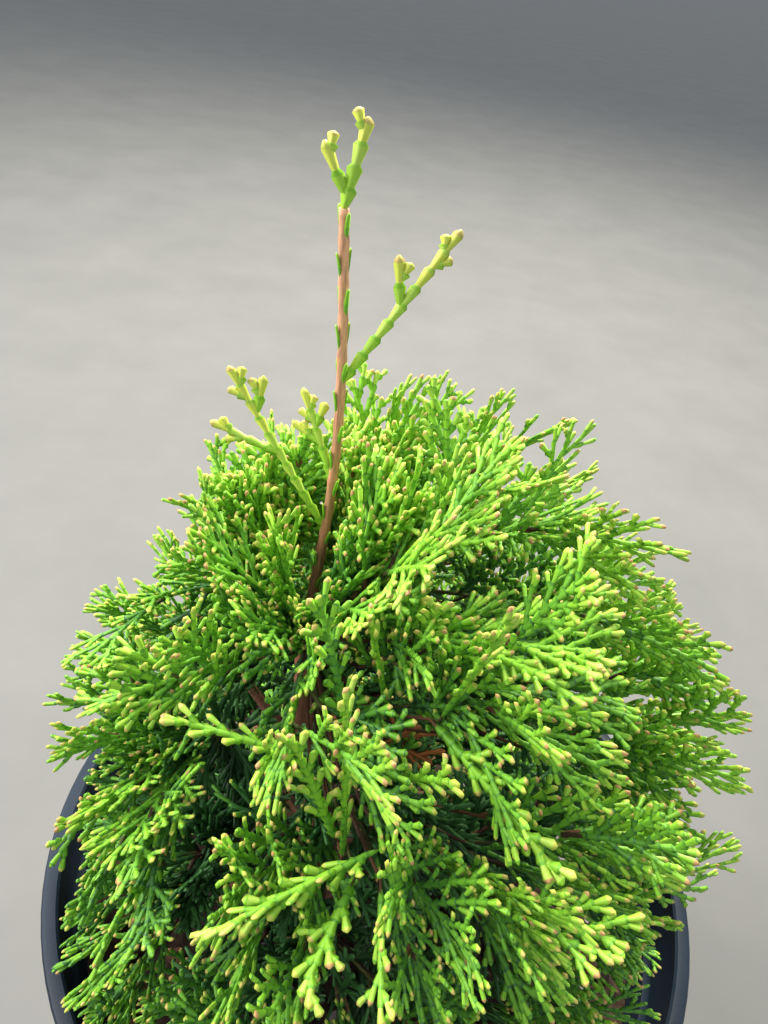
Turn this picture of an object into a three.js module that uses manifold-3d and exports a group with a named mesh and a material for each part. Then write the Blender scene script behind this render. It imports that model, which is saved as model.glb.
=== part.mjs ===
// A young thuja in a round nursery pot, in millimetres with +Z up.
// The origin is the middle of the pot's flat underside, and the plant's front faces -Y.
// A leader runs up through the crown. Boughs leave it all round in tiers, and each bough carries
// one mass of flat sprays that keeps to its own share of the crown.
import * as THREE from "three";
import { mergeVertices } from "three/addons/utils/BufferGeometryUtils.js";
import Module from "manifold-3d";

const wasm = await Module();
wasm.setup();

// Pot: its rim is the size that the whole plant was scaled from.
const POT_RIM_RADIUS = 115;
const POT_HEIGHT = 190;
const POT_FOOT_RADIUS = 84;
const POT_WALL = 2.2;
const POT_FLOOR = 3;
const COLLAR_HEIGHT = 26;
const COLLAR_STEP = 3.5;
const COLLAR_DRAFT = 0.8;
const LEDGE_RISE = 1.5;
const LIP_WIDTH = 3.2;
const LIP_HEIGHT = 6;
const LIP_ROUND = 1;
const POT_SIDES = 40;
const DRAIN_HOLES = 8;
const DRAIN_RADIUS = 6;
const DRAIN_SIDES = 8;
const DRAIN_INSET = 14;

// Soil: flat round the stem, a little lower at the wall.
const SOIL_TOP = 158;
const SOIL_EDGE_DROP = 5;
const SOIL_FLAT_RADIUS = 46;

// Trunk and leader: it leans over in its lower part, and the bare leader bows a little above that.
const TRUNK_FOOT = new THREE.Vector2(-10, -8);
const TRUNK_LEAN = new THREE.Vector2(-24, 2);
const LEAN_DONE_AT = 0.55;
const LEADER_FOOT = 300;
const LEADER_BOW = 3.5;
const TRUNK_TIP = 414;
const TRUNK_FOOT_RADIUS = 5.2;
const TRUNK_TIP_RADIUS = 1.1;
const TAPER_POWER = 2.4;
const ROOT_FLARE = 3.6;
const FLARE_HEIGHT = 12;
const TRUNK_SIDES = 8;
const TRUNK_RINGS = 26;
const RINGS_CLOSE_UP = 1.25;

// Crown: an egg that is fuller below its middle, split into tiers by cones that rise outwards.
const CROWN_MIDDLE = new THREE.Vector3(-5, -13, 240);
const CROWN_RADIUS = 92;
const CROWN_TOP = 135;
const CROWN_FOOT = 92;
const CROWN_FULLNESS = 2.6;
const TIER_SLOPE = 0.5;
const TIERS = [
  { name: "low", masses: 6, from: 136, to: 178, turn: 12, stemAt: 24, rootAt: 180, rise: 14, grid: [2, 3] },
  { name: "middle", masses: 6, from: 178, to: 232, turn: 42, stemAt: 24, rootAt: 213, rise: 30, grid: [2, 4] },
  { name: "upper", masses: 5, from: 232, to: 286, turn: 8, stemAt: 20, rootAt: 262, rise: 46, grid: [2, 5] },
  { name: "top", masses: 3, from: 286, to: 372, turn: 40, stemAt: 10, rootAt: 306, rise: 64, grid: [3, 3] },
];
const STAGGER = 3;
const BARE_CORE = 7;
const FULLNESS = { from: 0.95, to: 1.05 };

// The crown stands open before the leader, over a slope that falls back from the front.
const OPEN_FRONT = { from: 296, slope: 1.05, halfWidth: 11 };

// Boughs, twigs and sprays
const GAP = 0.35;
const CLEARANCE = 1.1;
const BOUGH_RADIUS = 1.9;
const BOUGH_TO_TRUNK = 0.78;
const BOUGH_TIP_SHARE = 0.85;
const BOUGH_RISE = 38;
const BOUGH_SIDES = 6;
const TWIG_HALF_WIDTH = 1;
const TWIG_TIP_SHARE = 0.7;
const STEM_SHARE = 0.36;
const STEM_SIDES = 5;
const STEM_RINGS = 3;
const KNEE_SHARE = 0.4;
const FIRST_TWIG_AT = 0.3;
const JITTER = 0.4;
const SPRAY_LENGTH = { least: 14, most: 42 };
const SPRAY_SHARE = 0.68;
const SPRAY_THICKNESS = 2.6;
const SPRAY_TIP_THICKNESS = 1.6;
const SPRAY_ROLL = 34;
const SPRAY_DROOP = 0.1;
const PAIR_PITCH = 11;
const FINGER_ANGLE = 36;
const FINGER_SHARE = 0.48;
const FINGER_STUB = 3;
const FIRST_FINGER = { left: 0.5, right: 0.1 };
const NOTCH_AT = 0.6;
const NOTCH_HALF_WIDTH = 2.2;

// The leader's own sprays: where each leaves it, which way, how long, and its side prongs
// as [share of its length, side, share of its length].
const LEADER_SPRAYS = [
  { name: "tip", height: 414, azimuth: 10, rise: 80, length: 16, prongs: [[0.12, 1, 0.66]] },
  { name: "right", height: 378, azimuth: 6, rise: 61, length: 40, prongs: [[0.52, 1, 0.27]] },
  { name: "left", height: 337, azimuth: 184, rise: 60, length: 48, prongs: [[0.5, -1, 0.36], [0.74, 1, 0.2]] },
  { name: "inner", height: 352, azimuth: 168, rise: 68, length: 24, prongs: [[0.4, -1, 0.36], [0.6, 1, 0.3]] },
];
const PRONG_ANGLE = 38;
const PRONG_RADIUS = 1.2;
const NEAR_LEADER_SPRAY = 5;

const UP = new THREE.Vector3(0, 0, 1);
const POT_BLACK = { color: 0x15181c, roughness: 0.55, metalness: 0 };
const SOIL_BROWN = { color: 0x33261f, roughness: 0.95, metalness: 0 };
const BARK_BROWN = { color: 0x8a5238, roughness: 0.8, metalness: 0 };
const SPRAY_GREEN = { color: 0x5c9a22, roughness: 0.6, metalness: 0 };
const TIP_GREEN = { color: 0x9bbf3a, roughness: 0.6, metalness: 0 };

const plant = new THREE.Group();

function degrees(angle) {
  return THREE.MathUtils.degToRad(angle);
}

// Even, repeatable draws between 0 and 1.
function seededDraws(seed) {
  let state = seed;
  return () => {
    state = (state * 16807) % 2147483647;
    return state / 2147483647;
  };
}

function heading(azimuth, rise) {
  const level = Math.cos(degrees(rise));
  const x = level * Math.cos(degrees(azimuth));
  const y = level * Math.sin(degrees(azimuth));
  return new THREE.Vector3(x, y, Math.sin(degrees(rise)));
}

// A closed geometry as a solid that can be joined or cut.
function solidOf(geometry) {
  const bare = geometry.clone();
  bare.deleteAttribute("normal");
  bare.deleteAttribute("uv");
  const merged = mergeVertices(bare, 1e-4);
  return new wasm.Manifold(
    new wasm.Mesh({
      numProp: 3,
      vertProperties: merged.attributes.position.array,
      triVerts: new Uint32Array(merged.index.array),
    }),
  );
}

function geometryOf(solid) {
  const { vertProperties, triVerts } = solid.getMesh();
  const geometry = new THREE.BufferGeometry();
  geometry.setAttribute("position", new THREE.BufferAttribute(vertProperties, 3));
  geometry.setIndex(new THREE.BufferAttribute(triVerts, 1));
  geometry.computeVertexNormals();
  return geometry;
}

// The outer skin alone, so that crossing sprays close off no pocket.
function outerBody(solid) {
  return solid.decompose().reduce((most, next) => (next.volume() > most.volume() ? next : most));
}

function add(name, geometry, look) {
  const mesh = new THREE.Mesh(geometry, new THREE.MeshStandardMaterial(look));
  mesh.name = name;
  plant.add(mesh);
}

// A round section carried along a line of points, with its own radius at each share of the way.
function taperedLimb(pointAt, radiusAt, sides, rings) {
  const geometry = new THREE.CylinderGeometry(1, 1, 1, sides, rings);
  const place = geometry.attributes.position;
  const step = 1e-3;
  for (let i = 0; i < place.count; i++) {
    const share = place.getY(i) + 0.5;
    const ahead = pointAt(Math.min(share + step, 1));
    const along = ahead.sub(pointAt(Math.max(share - step, 0))).normalize();
    const across = new THREE.Vector3(0, 1, 0).addScaledVector(along, -along.y).normalize();
    const third = new THREE.Vector3().crossVectors(across, along);
    const radius = radiusAt(share);
    const at = pointAt(share);
    at.addScaledVector(across, -place.getZ(i) * radius);
    at.addScaledVector(third, place.getX(i) * radius);
    place.setXYZ(i, at.x, at.y, at.z);
  }
  return geometry;
}

function straightLimb(from, to, radius, tipRadius, sides) {
  const pointAt = (share) => from.clone().lerp(to, share);
  return taperedLimb(pointAt, (share) => THREE.MathUtils.lerp(radius, tipRadius, share), sides, 1);
}

// A limb that leaves a point one way and bends towards its end.
function bentLine(from, to, heads) {
  const knee = from.clone().addScaledVector(heads, KNEE_SHARE * from.distanceTo(to));
  return (share) => {
    const first = from.clone().lerp(knee, share);
    return first.lerp(knee.clone().lerp(to, share), share);
  };
}

function potRadiusAt(height) {
  const shoulder = POT_RIM_RADIUS - LIP_WIDTH - COLLAR_STEP;
  return THREE.MathUtils.lerp(POT_FOOT_RADIUS, shoulder, height / (POT_HEIGHT - COLLAR_HEIGHT));
}

// The pot: a tapered wall, a wider collar under the lip, and drain holes round the floor's edge.
function pot() {
  const collarFoot = POT_HEIGHT - COLLAR_HEIGHT;
  const shoulder = potRadiusAt(collarFoot);
  const collar = POT_RIM_RADIUS - LIP_WIDTH;
  const collarAtFoot = collar - COLLAR_DRAFT;
  const ledge = collarFoot + LEDGE_RISE;
  const profile = [
    [0, 0],
    [POT_FOOT_RADIUS, 0],
    [shoulder, collarFoot],
    [collarAtFoot, ledge],
    [collar, POT_HEIGHT - LIP_HEIGHT],
    [POT_RIM_RADIUS, POT_HEIGHT - LIP_HEIGHT + LIP_ROUND],
    [POT_RIM_RADIUS, POT_HEIGHT - LIP_ROUND],
    [POT_RIM_RADIUS - LIP_ROUND, POT_HEIGHT],
    [collar - POT_WALL, POT_HEIGHT],
    [collarAtFoot - POT_WALL, ledge + POT_WALL],
    [shoulder - POT_WALL, collarFoot + POT_WALL],
    [potRadiusAt(POT_FLOOR) - POT_WALL, POT_FLOOR],
    [0, POT_FLOOR],
  ];
  const points = profile.map(([radius, height]) => new THREE.Vector2(radius, height));
  let shell = solidOf(new THREE.LatheGeometry(points, POT_SIDES).rotateX(Math.PI / 2));
  for (let i = 0; i < DRAIN_HOLES; i++) {
    const hole = new THREE.CylinderGeometry(DRAIN_RADIUS, DRAIN_RADIUS, 4 * POT_FLOOR, DRAIN_SIDES);
    const angle = (i * 2 * Math.PI) / DRAIN_HOLES;
    const reach = POT_FOOT_RADIUS - DRAIN_INSET;
    hole.rotateX(Math.PI / 2).translate(reach * Math.cos(angle), reach * Math.sin(angle), 0);
    shell = shell.subtract(solidOf(hole));
  }
  add("pot", geometryOf(shell), POT_BLACK);
}

function soil() {
  const inside = (height) => potRadiusAt(height) - POT_WALL - GAP;
  const edge = SOIL_TOP - SOIL_EDGE_DROP;
  const profile = [
    [0, POT_FLOOR + GAP],
    [inside(POT_FLOOR + GAP), POT_FLOOR + GAP],
    [inside(edge), edge],
    [SOIL_FLAT_RADIUS, SOIL_TOP],
    [0, SOIL_TOP],
  ];
  const points = profile.map(([radius, height]) => new THREE.Vector2(radius, height));
  add("soil", new THREE.LatheGeometry(points, POT_SIDES).rotateX(Math.PI / 2), SOIL_BROWN);
}

function trunkPoint(height) {
  const share = (height - SOIL_TOP) / (TRUNK_TIP - SOIL_TOP);
  const leaning = Math.sin((Math.min(Math.max(share, 0) / LEAN_DONE_AT, 1) * Math.PI) / 2);
  const upper = THREE.MathUtils.clamp((height - LEADER_FOOT) / (TRUNK_TIP - LEADER_FOOT), 0, 1);
  const x = TRUNK_FOOT.x + TRUNK_LEAN.x * leaning + LEADER_BOW * Math.sin(Math.PI * upper);
  return new THREE.Vector3(x, TRUNK_FOOT.y + TRUNK_LEAN.y * leaning, height);
}

function trunkRadius(height) {
  const share = THREE.MathUtils.clamp((height - SOIL_TOP) / (TRUNK_TIP - SOIL_TOP), 0, 1);
  const taper = TRUNK_TIP_RADIUS + (TRUNK_FOOT_RADIUS - TRUNK_TIP_RADIUS) * (1 - share) ** TAPER_POWER;
  const flare = Math.max(0, 1 - (height - SOIL_TOP) / FLARE_HEIGHT);
  return taper + ROOT_FLARE * flare ** 2;
}

function trunkLimb(extra) {
  const foot = SOIL_TOP + GAP;
  const top = TRUNK_TIP + extra;
  const heightAt = (share) => foot + (top - foot) * share ** RINGS_CLOSE_UP;
  const pointAt = (share) => trunkPoint(heightAt(share));
  const limb = taperedLimb(pointAt, (s) => trunkRadius(heightAt(s)) + extra, TRUNK_SIDES, TRUNK_RINGS);
  const place = limb.attributes.position;
  for (let i = 0; i < place.count; i++) place.setZ(i, Math.max(place.getZ(i), foot));
  return limb;
}

// How far out a point lies from the trunk, and its place among the tiers and round the trunk.
function placeInCrown(point) {
  const middle = trunkPoint(point.z);
  const x = point.x - middle.x;
  const y = point.y - middle.y;
  const out = Math.hypot(x, y);
  return { out, tier: point.z - TIER_SLOPE * out, azimuth: Math.atan2(y, x) };
}

// Under 1 inside the crown's egg, 1 on it, more outside.
function crownShare(point) {
  const offset = point.clone().sub(CROWN_MIDDLE);
  const out = Math.hypot(offset.x, offset.y) / CROWN_RADIUS;
  if (offset.z > 0) return Math.hypot(out, offset.z / CROWN_TOP);
  return (out ** CROWN_FULLNESS + (-offset.z / CROWN_FOOT) ** CROWN_FULLNESS) ** (1 / CROWN_FULLNESS);
}

// The way from a point to the crown's surface in one direction.
function reachFrom(point, direction) {
  let reach = 0;
  while (crownShare(point.clone().addScaledVector(direction, reach)) < 1) reach += 1;
  return reach;
}

// The straight pieces of the leader's own sprays: each from, to and radius.
function leaderProngs(spray) {
  const root = trunkPoint(spray.height);
  const along = heading(spray.azimuth, spray.rise);
  const aside = UP.clone().addScaledVector(along, -along.z).normalize();
  const tip = root.clone().addScaledVector(along, spray.length);
  const rootRadius = BOUGH_TO_TRUNK * trunkRadius(spray.height);
  const prongs = [{ from: root, to: tip, radius: rootRadius }];
  for (const [share, side, size] of spray.prongs) {
    const from = root.clone().lerp(tip, share);
    const turned = along.clone().multiplyScalar(Math.cos(degrees(PRONG_ANGLE)));
    turned.addScaledVector(aside, side * Math.sin(degrees(PRONG_ANGLE)));
    const to = from.clone().addScaledVector(turned, size * spray.length);
    prongs.push({ from, to, radius: rootRadius });
  }
  return prongs;
}

const leaderLines = LEADER_SPRAYS.flatMap(leaderProngs).map(({ from, to }) => new THREE.Line3(from, to));

function clearOfLeaderSprays(point) {
  const nearest = new THREE.Vector3();
  return leaderLines.every((line) => {
    line.closestPointToPoint(point, true, nearest);
    return nearest.distanceTo(point) > NEAR_LEADER_SPRAY;
  });
}

function clearOfOpenFront(point) {
  const middle = trunkPoint(point.z);
  const before = middle.y - point.y;
  if (before < 0 || Math.abs(point.x - middle.x) > OPEN_FRONT.halfWidth) return true;
  return point.z < OPEN_FRONT.from + OPEN_FRONT.slope * before;
}

function clearOfPot(point) {
  if (point.z < SOIL_TOP + 2 * CLEARANCE) return false;
  const inside = potRadiusAt(SOIL_TOP) - POT_WALL - 3 * CLEARANCE;
  return point.z > POT_HEIGHT + 3 * CLEARANCE || Math.hypot(point.x, point.y) < inside;
}

// Whether a point lies in one mass's own share of the crown.
function inShare(tier, middle, point) {
  const place = placeInCrown(point);
  if (place.out < BARE_CORE + CLEARANCE) return false;
  if (place.tier < tier.from + CLEARANCE || place.tier > tier.to - CLEARANCE) return false;
  const fromMiddle = THREE.MathUtils.euclideanModulo(place.azimuth - degrees(middle), 2 * Math.PI);
  const turn = Math.min(fromMiddle, 2 * Math.PI - fromMiddle);
  if ((Math.PI / tier.masses - turn) * place.out < CLEARANCE) return false;
  return clearOfPot(point) && clearOfOpenFront(point) && clearOfLeaderSprays(point);
}

// A flat spray on its bare twig, as one toothed blade that is thickest along its keel. Fingers leave
// the keel on alternate sides and sweep forward, and one that would leave the mass's share is a stub.
function keeledBlade(root, along, normal, bare, length, allowed) {
  const across = new THREE.Vector3().crossVectors(normal, along);
  const bent = (s, w, h) => {
    const point = root.clone().addScaledVector(along, s).addScaledVector(across, w);
    return point.addScaledVector(UP, -SPRAY_DROOP * length * (s / length) ** 2).addScaledVector(normal, h);
  };
  const points = [];
  const put = (s, w, h) => points.push(bent(s, w, h)) - 1;
  const pairs = Math.max(1, Math.round((length - bare) / PAIR_PITCH));
  const pitch = (length - bare) / pairs;
  const end = put(length, 0, 0);
  const rims = [-1, 1].map((sign) => {
    const rim = [put(0, sign * TWIG_HALF_WIDTH, 0), put(bare, sign * TWIG_HALF_WIDTH, 0)];
    for (let i = 0; i < pairs; i++) {
      const base = bare + pitch * (i + (sign < 0 ? FIRST_FINGER.right : FIRST_FINGER.left));
      const fullness = Math.sin(Math.PI * (0.2 + (0.5 * (base - bare)) / (length - bare)));
      const tipOf = (reach) => [
        base + reach * Math.cos(degrees(FINGER_ANGLE)),
        sign * (TWIG_HALF_WIDTH + reach * Math.sin(degrees(FINGER_ANGLE))),
        0,
      ];
      let size = FINGER_SHARE * (length - bare) * fullness;
      while (size > FINGER_STUB && !allowed(bent(...tipOf(size)))) size *= 0.8;
      rim.push(put(...tipOf(Math.max(size, FINGER_STUB))));
      rim.push(i === pairs - 1 ? end : put(base + NOTCH_AT * pitch, sign * NOTCH_HALF_WIDTH, 0));
    }
    return rim;
  });
  const corners = [];
  for (const face of [1, -1]) {
    const keel = [put(0.5, 0, face * TWIG_HALF_WIDTH)];
    for (let i = 0; i < pairs; i++) {
      const thickness = THREE.MathUtils.lerp(SPRAY_THICKNESS, SPRAY_TIP_THICKNESS, i / pairs);
      keel.push(put(bare + pitch * (i + FIRST_FINGER.right), 0, (face * thickness) / 2));
    }
    const cover = (a, b, c) => corners.push(...(face > 0 ? [a, b, c] : [a, c, b]));
    cover(keel[0], rims[1][0], rims[0][0]);
    rims.forEach((rim, side) => {
      const lay = (a, b, c) => (side ? cover(a, b, c) : cover(a, c, b));
      lay(keel[0], rim[1], rim[0]);
      lay(keel[0], keel[1], rim[1]);
      for (let i = 0; i < pairs; i++) {
        lay(keel[i + 1], rim[2 * i + 2], rim[2 * i + 1]);
        lay(keel[i + 1], rim[2 * i + 3], rim[2 * i + 2]);
        if (i < pairs - 1) lay(keel[i + 1], keel[i + 2], rim[2 * i + 3]);
      }
    });
  }
  const blade = new THREE.BufferGeometry().setFromPoints(points);
  blade.setIndex(corners);
  return blade;
}

// Where a mass's outer face lies in one direction: turn and level run from 0 to 1 across its share.
function outerPoint(tier, middle, turn, level, fullness) {
  const azimuth = middle + (360 / tier.masses) * (turn - 0.5);
  const foot = THREE.MathUtils.lerp(tier.from, tier.to, level);
  for (let out = 1.6 * CROWN_RADIUS; out > BARE_CORE; out -= 1) {
    const height = foot + TIER_SLOPE * out;
    const point = trunkPoint(height).addScaledVector(heading(azimuth, 0), out);
    if (crownShare(point) < fullness) return point;
  }
  return null;
}

// Every twig and spray of one mass: a stem that grows on from the bough and bends to the tier's own
// rise, then a twig and a spray on the way to each place of a grid on the outer face.
function massPlan(tier, middle, root, boughHeads, draw) {
  const allowed = (point) => inShare(tier, middle, point);
  const along = heading(middle, tier.rise);
  const stemEnd = root.clone().addScaledVector(along, STEM_SHARE * reachFrom(root, along));
  const stemAt = bentLine(root, stemEnd, boughHeads);
  const across = new THREE.Vector3(-Math.sin(degrees(middle)), Math.cos(degrees(middle)), 0);
  const sprays = [];
  const [rows, columns] = tier.grid;
  for (let row = 0; row < rows; row++) {
    for (let column = 0; column < columns; column++) {
      const turn = (column + 0.5 + JITTER * (draw() - 0.5)) / columns;
      const level = (row + 0.5 + JITTER * (draw() - 0.5)) / rows;
      const fullness = THREE.MathUtils.lerp(FULLNESS.from, FULLNESS.to, draw());
      const roll = SPRAY_ROLL * (2 * draw() - 1);
      const from = stemAt(THREE.MathUtils.lerp(FIRST_TWIG_AT, 1, draw()));
      const aim = outerPoint(tier, middle, turn, level, fullness);
      if (!aim) continue;
      const heads = aim.clone().sub(from).normalize();
      const pointAt = (reach) => from.clone().addScaledVector(heads, reach);
      let reach = from.distanceTo(aim);
      const fits = () => [0.4, 0.6, 0.8, 1].every((part) => allowed(pointAt(reach * part)));
      while (reach > SPRAY_LENGTH.least && !fits()) reach *= 0.94;
      if (reach <= SPRAY_LENGTH.least) continue;
      const bare = reach - Math.min(SPRAY_LENGTH.most, SPRAY_SHARE * reach);
      const normal = across.clone().addScaledVector(heads, -across.dot(heads)).normalize();
      normal.applyAxisAngle(heads, degrees(roll));
      sprays.push({ from, heads, normal, bare, reach });
    }
  }
  return { stemAt, sprays };
}

function foliageMass(name, tier, middle, root, boughHeads, stemRadius, draw) {
  const { stemAt, sprays } = massPlan(tier, middle, root, boughHeads, draw);
  const stemRadiusAt = (share) => THREE.MathUtils.lerp(stemRadius, stemRadius * TWIG_TIP_SHARE, share);
  let mass = solidOf(taperedLimb(stemAt, stemRadiusAt, STEM_SIDES, STEM_RINGS));
  const allowed = (point) => inShare(tier, middle, point);
  for (const { from, heads, normal, bare, reach } of sprays) {
    mass = mass.add(solidOf(keeledBlade(from, heads, normal, bare, reach, allowed)));
  }
  add(name, geometryOf(outerBody(mass)), SPRAY_GREEN);
}

function tierOfMasses(tier, first, trunkSpace) {
  for (let i = 0; i < tier.masses; i++) {
    const draw = seededDraws(1 + 7919 * (first + i));
    const middle = tier.turn + (360 * i) / tier.masses;
    const rootHeight = tier.rootAt + STAGGER * (((3 * i) % tier.masses) - (tier.masses - 1) / 2);
    const root = trunkPoint(rootHeight).addScaledVector(heading(middle, 0), tier.stemAt);
    const drop = tier.stemAt * Math.tan(degrees(BOUGH_RISE));
    const crotch = trunkPoint(Math.max(rootHeight - drop, SOIL_TOP + 2.5 * BOUGH_RADIUS));
    const along = root.clone().sub(crotch).normalize();
    const end = root.clone().addScaledVector(along, -GAP);
    const radius = Math.min(BOUGH_RADIUS, BOUGH_TO_TRUNK * trunkRadius(crotch.z));
    const tipRadius = BOUGH_TIP_SHARE * radius;
    const bough = solidOf(straightLimb(crotch, end, radius, tipRadius, BOUGH_SIDES));
    add(`${tier.name}_bough_${i + 1}`, geometryOf(bough.subtract(trunkSpace)), BARK_BROWN);
    foliageMass(`${tier.name}_mass_${i + 1}`, tier, middle, root, along, tipRadius, draw);
  }
}

function leaderSpray(spray, trunkSpace) {
  let solid = null;
  for (const { from, to, radius } of leaderProngs(spray)) {
    const prong = solidOf(straightLimb(from, to, radius, PRONG_RADIUS, BOUGH_SIDES));
    solid = solid ? solid.add(prong) : prong;
  }
  add(`leader_spray_${spray.name}`, geometryOf(solid.subtract(trunkSpace)), TIP_GREEN);
}

pot();
soil();
const trunkSpace = solidOf(trunkLimb(GAP));
add("trunk", trunkLimb(0), BARK_BROWN);
let massesSoFar = 0;
for (const tier of TIERS) {
  tierOfMasses(tier, massesSoFar, trunkSpace);
  massesSoFar += tier.masses;
}
for (const spray of LEADER_SPRAYS) leaderSpray(spray, trunkSpace);

export default plant;
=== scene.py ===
# %% [markdown]
# # A young thuja in a nursery pot
# This lesson dresses a plain CAD model of a potted conifer. The model has the pot, the soil, a trunk,
# twenty boughs and twenty masses of foliage, all in one frame in metres, with +Z up.
# We load it first, because every piece that we make takes its place from it.

# %% Load the frame
import math

import bmesh
import bpy
import numpy as np
from mathutils import Matrix, Vector


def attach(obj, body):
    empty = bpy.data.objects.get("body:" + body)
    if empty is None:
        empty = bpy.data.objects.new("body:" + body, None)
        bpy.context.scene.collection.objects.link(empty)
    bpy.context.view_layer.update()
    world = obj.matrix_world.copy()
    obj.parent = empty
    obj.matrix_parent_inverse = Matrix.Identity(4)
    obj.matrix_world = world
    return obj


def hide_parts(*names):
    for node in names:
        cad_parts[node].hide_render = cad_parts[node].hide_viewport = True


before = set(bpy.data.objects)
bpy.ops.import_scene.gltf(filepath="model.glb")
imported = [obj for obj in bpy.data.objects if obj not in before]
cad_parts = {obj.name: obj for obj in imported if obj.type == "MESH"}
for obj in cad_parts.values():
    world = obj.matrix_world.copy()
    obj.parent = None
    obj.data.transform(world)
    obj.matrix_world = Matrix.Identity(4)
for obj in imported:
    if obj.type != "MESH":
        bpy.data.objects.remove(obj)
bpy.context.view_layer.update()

MM = 0.001
TURN = 2 * math.pi
UP = Vector((0, 0, 1))

# %% [markdown]
# The picture was taken with a phone held close over the plant, so the lens is wide and near, and what
# is at the front of the crown looks much larger than what is behind. A camera further away with a
# longer lens would frame the same plant, but it would lose that. The place, the tilt of 38 degrees
# and the roll were found from the pot's rim, which is a circle seen at a slant.

# %% Camera
CAMERA_AT = (-0.0175, -0.1508, 0.4587)
LOOKING_DOWN = 38.0
ROLL = 9.5
lens = bpy.data.cameras.new("phone_lens")
lens.sensor_width = 36.0
lens.lens = 27.04
lens.clip_start = 0.01
camera = bpy.data.objects.new("phone", lens)
bpy.context.collection.objects.link(camera)
tilt = Matrix.Rotation(math.radians(90 - LOOKING_DOWN), 4, "X")
camera.matrix_world = Matrix.Translation(CAMERA_AT) @ tilt @ Matrix.Rotation(math.radians(ROLL), 4, "Z")
bpy.context.scene.camera = camera
print("camera at", CAMERA_AT)

# %% [markdown]
# ## Small helpers
# Two functions for numbers come first: one goes a share of the way from one number to another, and
# one keeps a number between two limits.

# %% Helpers for numbers
def lerp(low, high, share):
    return low + (high - low) * share


def clamp(value, low=0.0, high=1.0):
    return min(max(value, low), high)


print("a quarter of the way from 2 to 6:", lerp(2, 6, 0.25))

# %% [markdown]
# A Blender operator works on all that is selected, so before a new piece is started everything is
# let go. A finished piece is named, given its materials and tied to the body that it moves with,
# and the CAD solids that it stands for are hidden.

# %% Helpers for pieces
def let_go():
    if bpy.context.object and bpy.context.object.mode != "OBJECT":
        bpy.ops.object.mode_set(mode="OBJECT")
    bpy.ops.object.select_all(action="DESELECT")


def work_on(piece):
    let_go()
    piece.select_set(True)
    bpy.context.view_layer.objects.active = piece


def apply_all(piece):
    work_on(piece)
    for modifier in list(piece.modifiers):
        bpy.ops.object.modifier_apply(modifier=modifier.name)


def joined(pieces):
    let_go()
    for piece in pieces:
        piece.select_set(True)
    bpy.context.view_layer.objects.active = pieces[0]
    bpy.ops.object.join()
    return bpy.context.object


def finished(piece, name, materials, nodes=()):
    piece.name = name
    piece.data.name = name
    for material in materials:
        piece.data.materials.append(material)
    if nodes:
        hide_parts(*nodes)
    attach(piece, "root")
    count = sum(len(face.vertices) - 2 for face in piece.data.polygons)
    print(f"{name}: {count} triangles")
    return piece


def pick_faces(piece, wanted):
    """In edit mode, selects the faces that pass a test."""
    bpy.ops.mesh.select_mode(type="FACE")
    bpy.ops.mesh.select_all(action="DESELECT")
    shape = bmesh.from_edit_mesh(piece.data)
    for face in shape.faces:
        if wanted(face):
            face.select_set(True)
    shape.select_flush_mode()
    bmesh.update_edit_mesh(piece.data)


# %% [markdown]
# ## Materials
# Materials are built from a Principled shader. What is the same all over is set on the shader's own
# sockets, and for small things such as scales and chips that is enough.

# %% Plain finishes
def plain_finish(name, colour, roughness, specular=0.5):
    material = bpy.data.materials.new(name)
    material.use_nodes = True
    shader = material.node_tree.nodes["Principled BSDF"]
    shader.inputs["Base Color"].default_value = (*colour, 1)
    shader.inputs["Roughness"].default_value = roughness
    shader.inputs["Specular IOR Level"].default_value = specular
    material.diffuse_color = (*colour, 1)
    return material


print("materials so far:", len(bpy.data.materials))

# %% [markdown]
# What varies over a piece comes from noise in Object coordinates, which stay put on the piece, so
# the pattern is the same from every side. A few short calls make the nodes and join them up.

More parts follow.
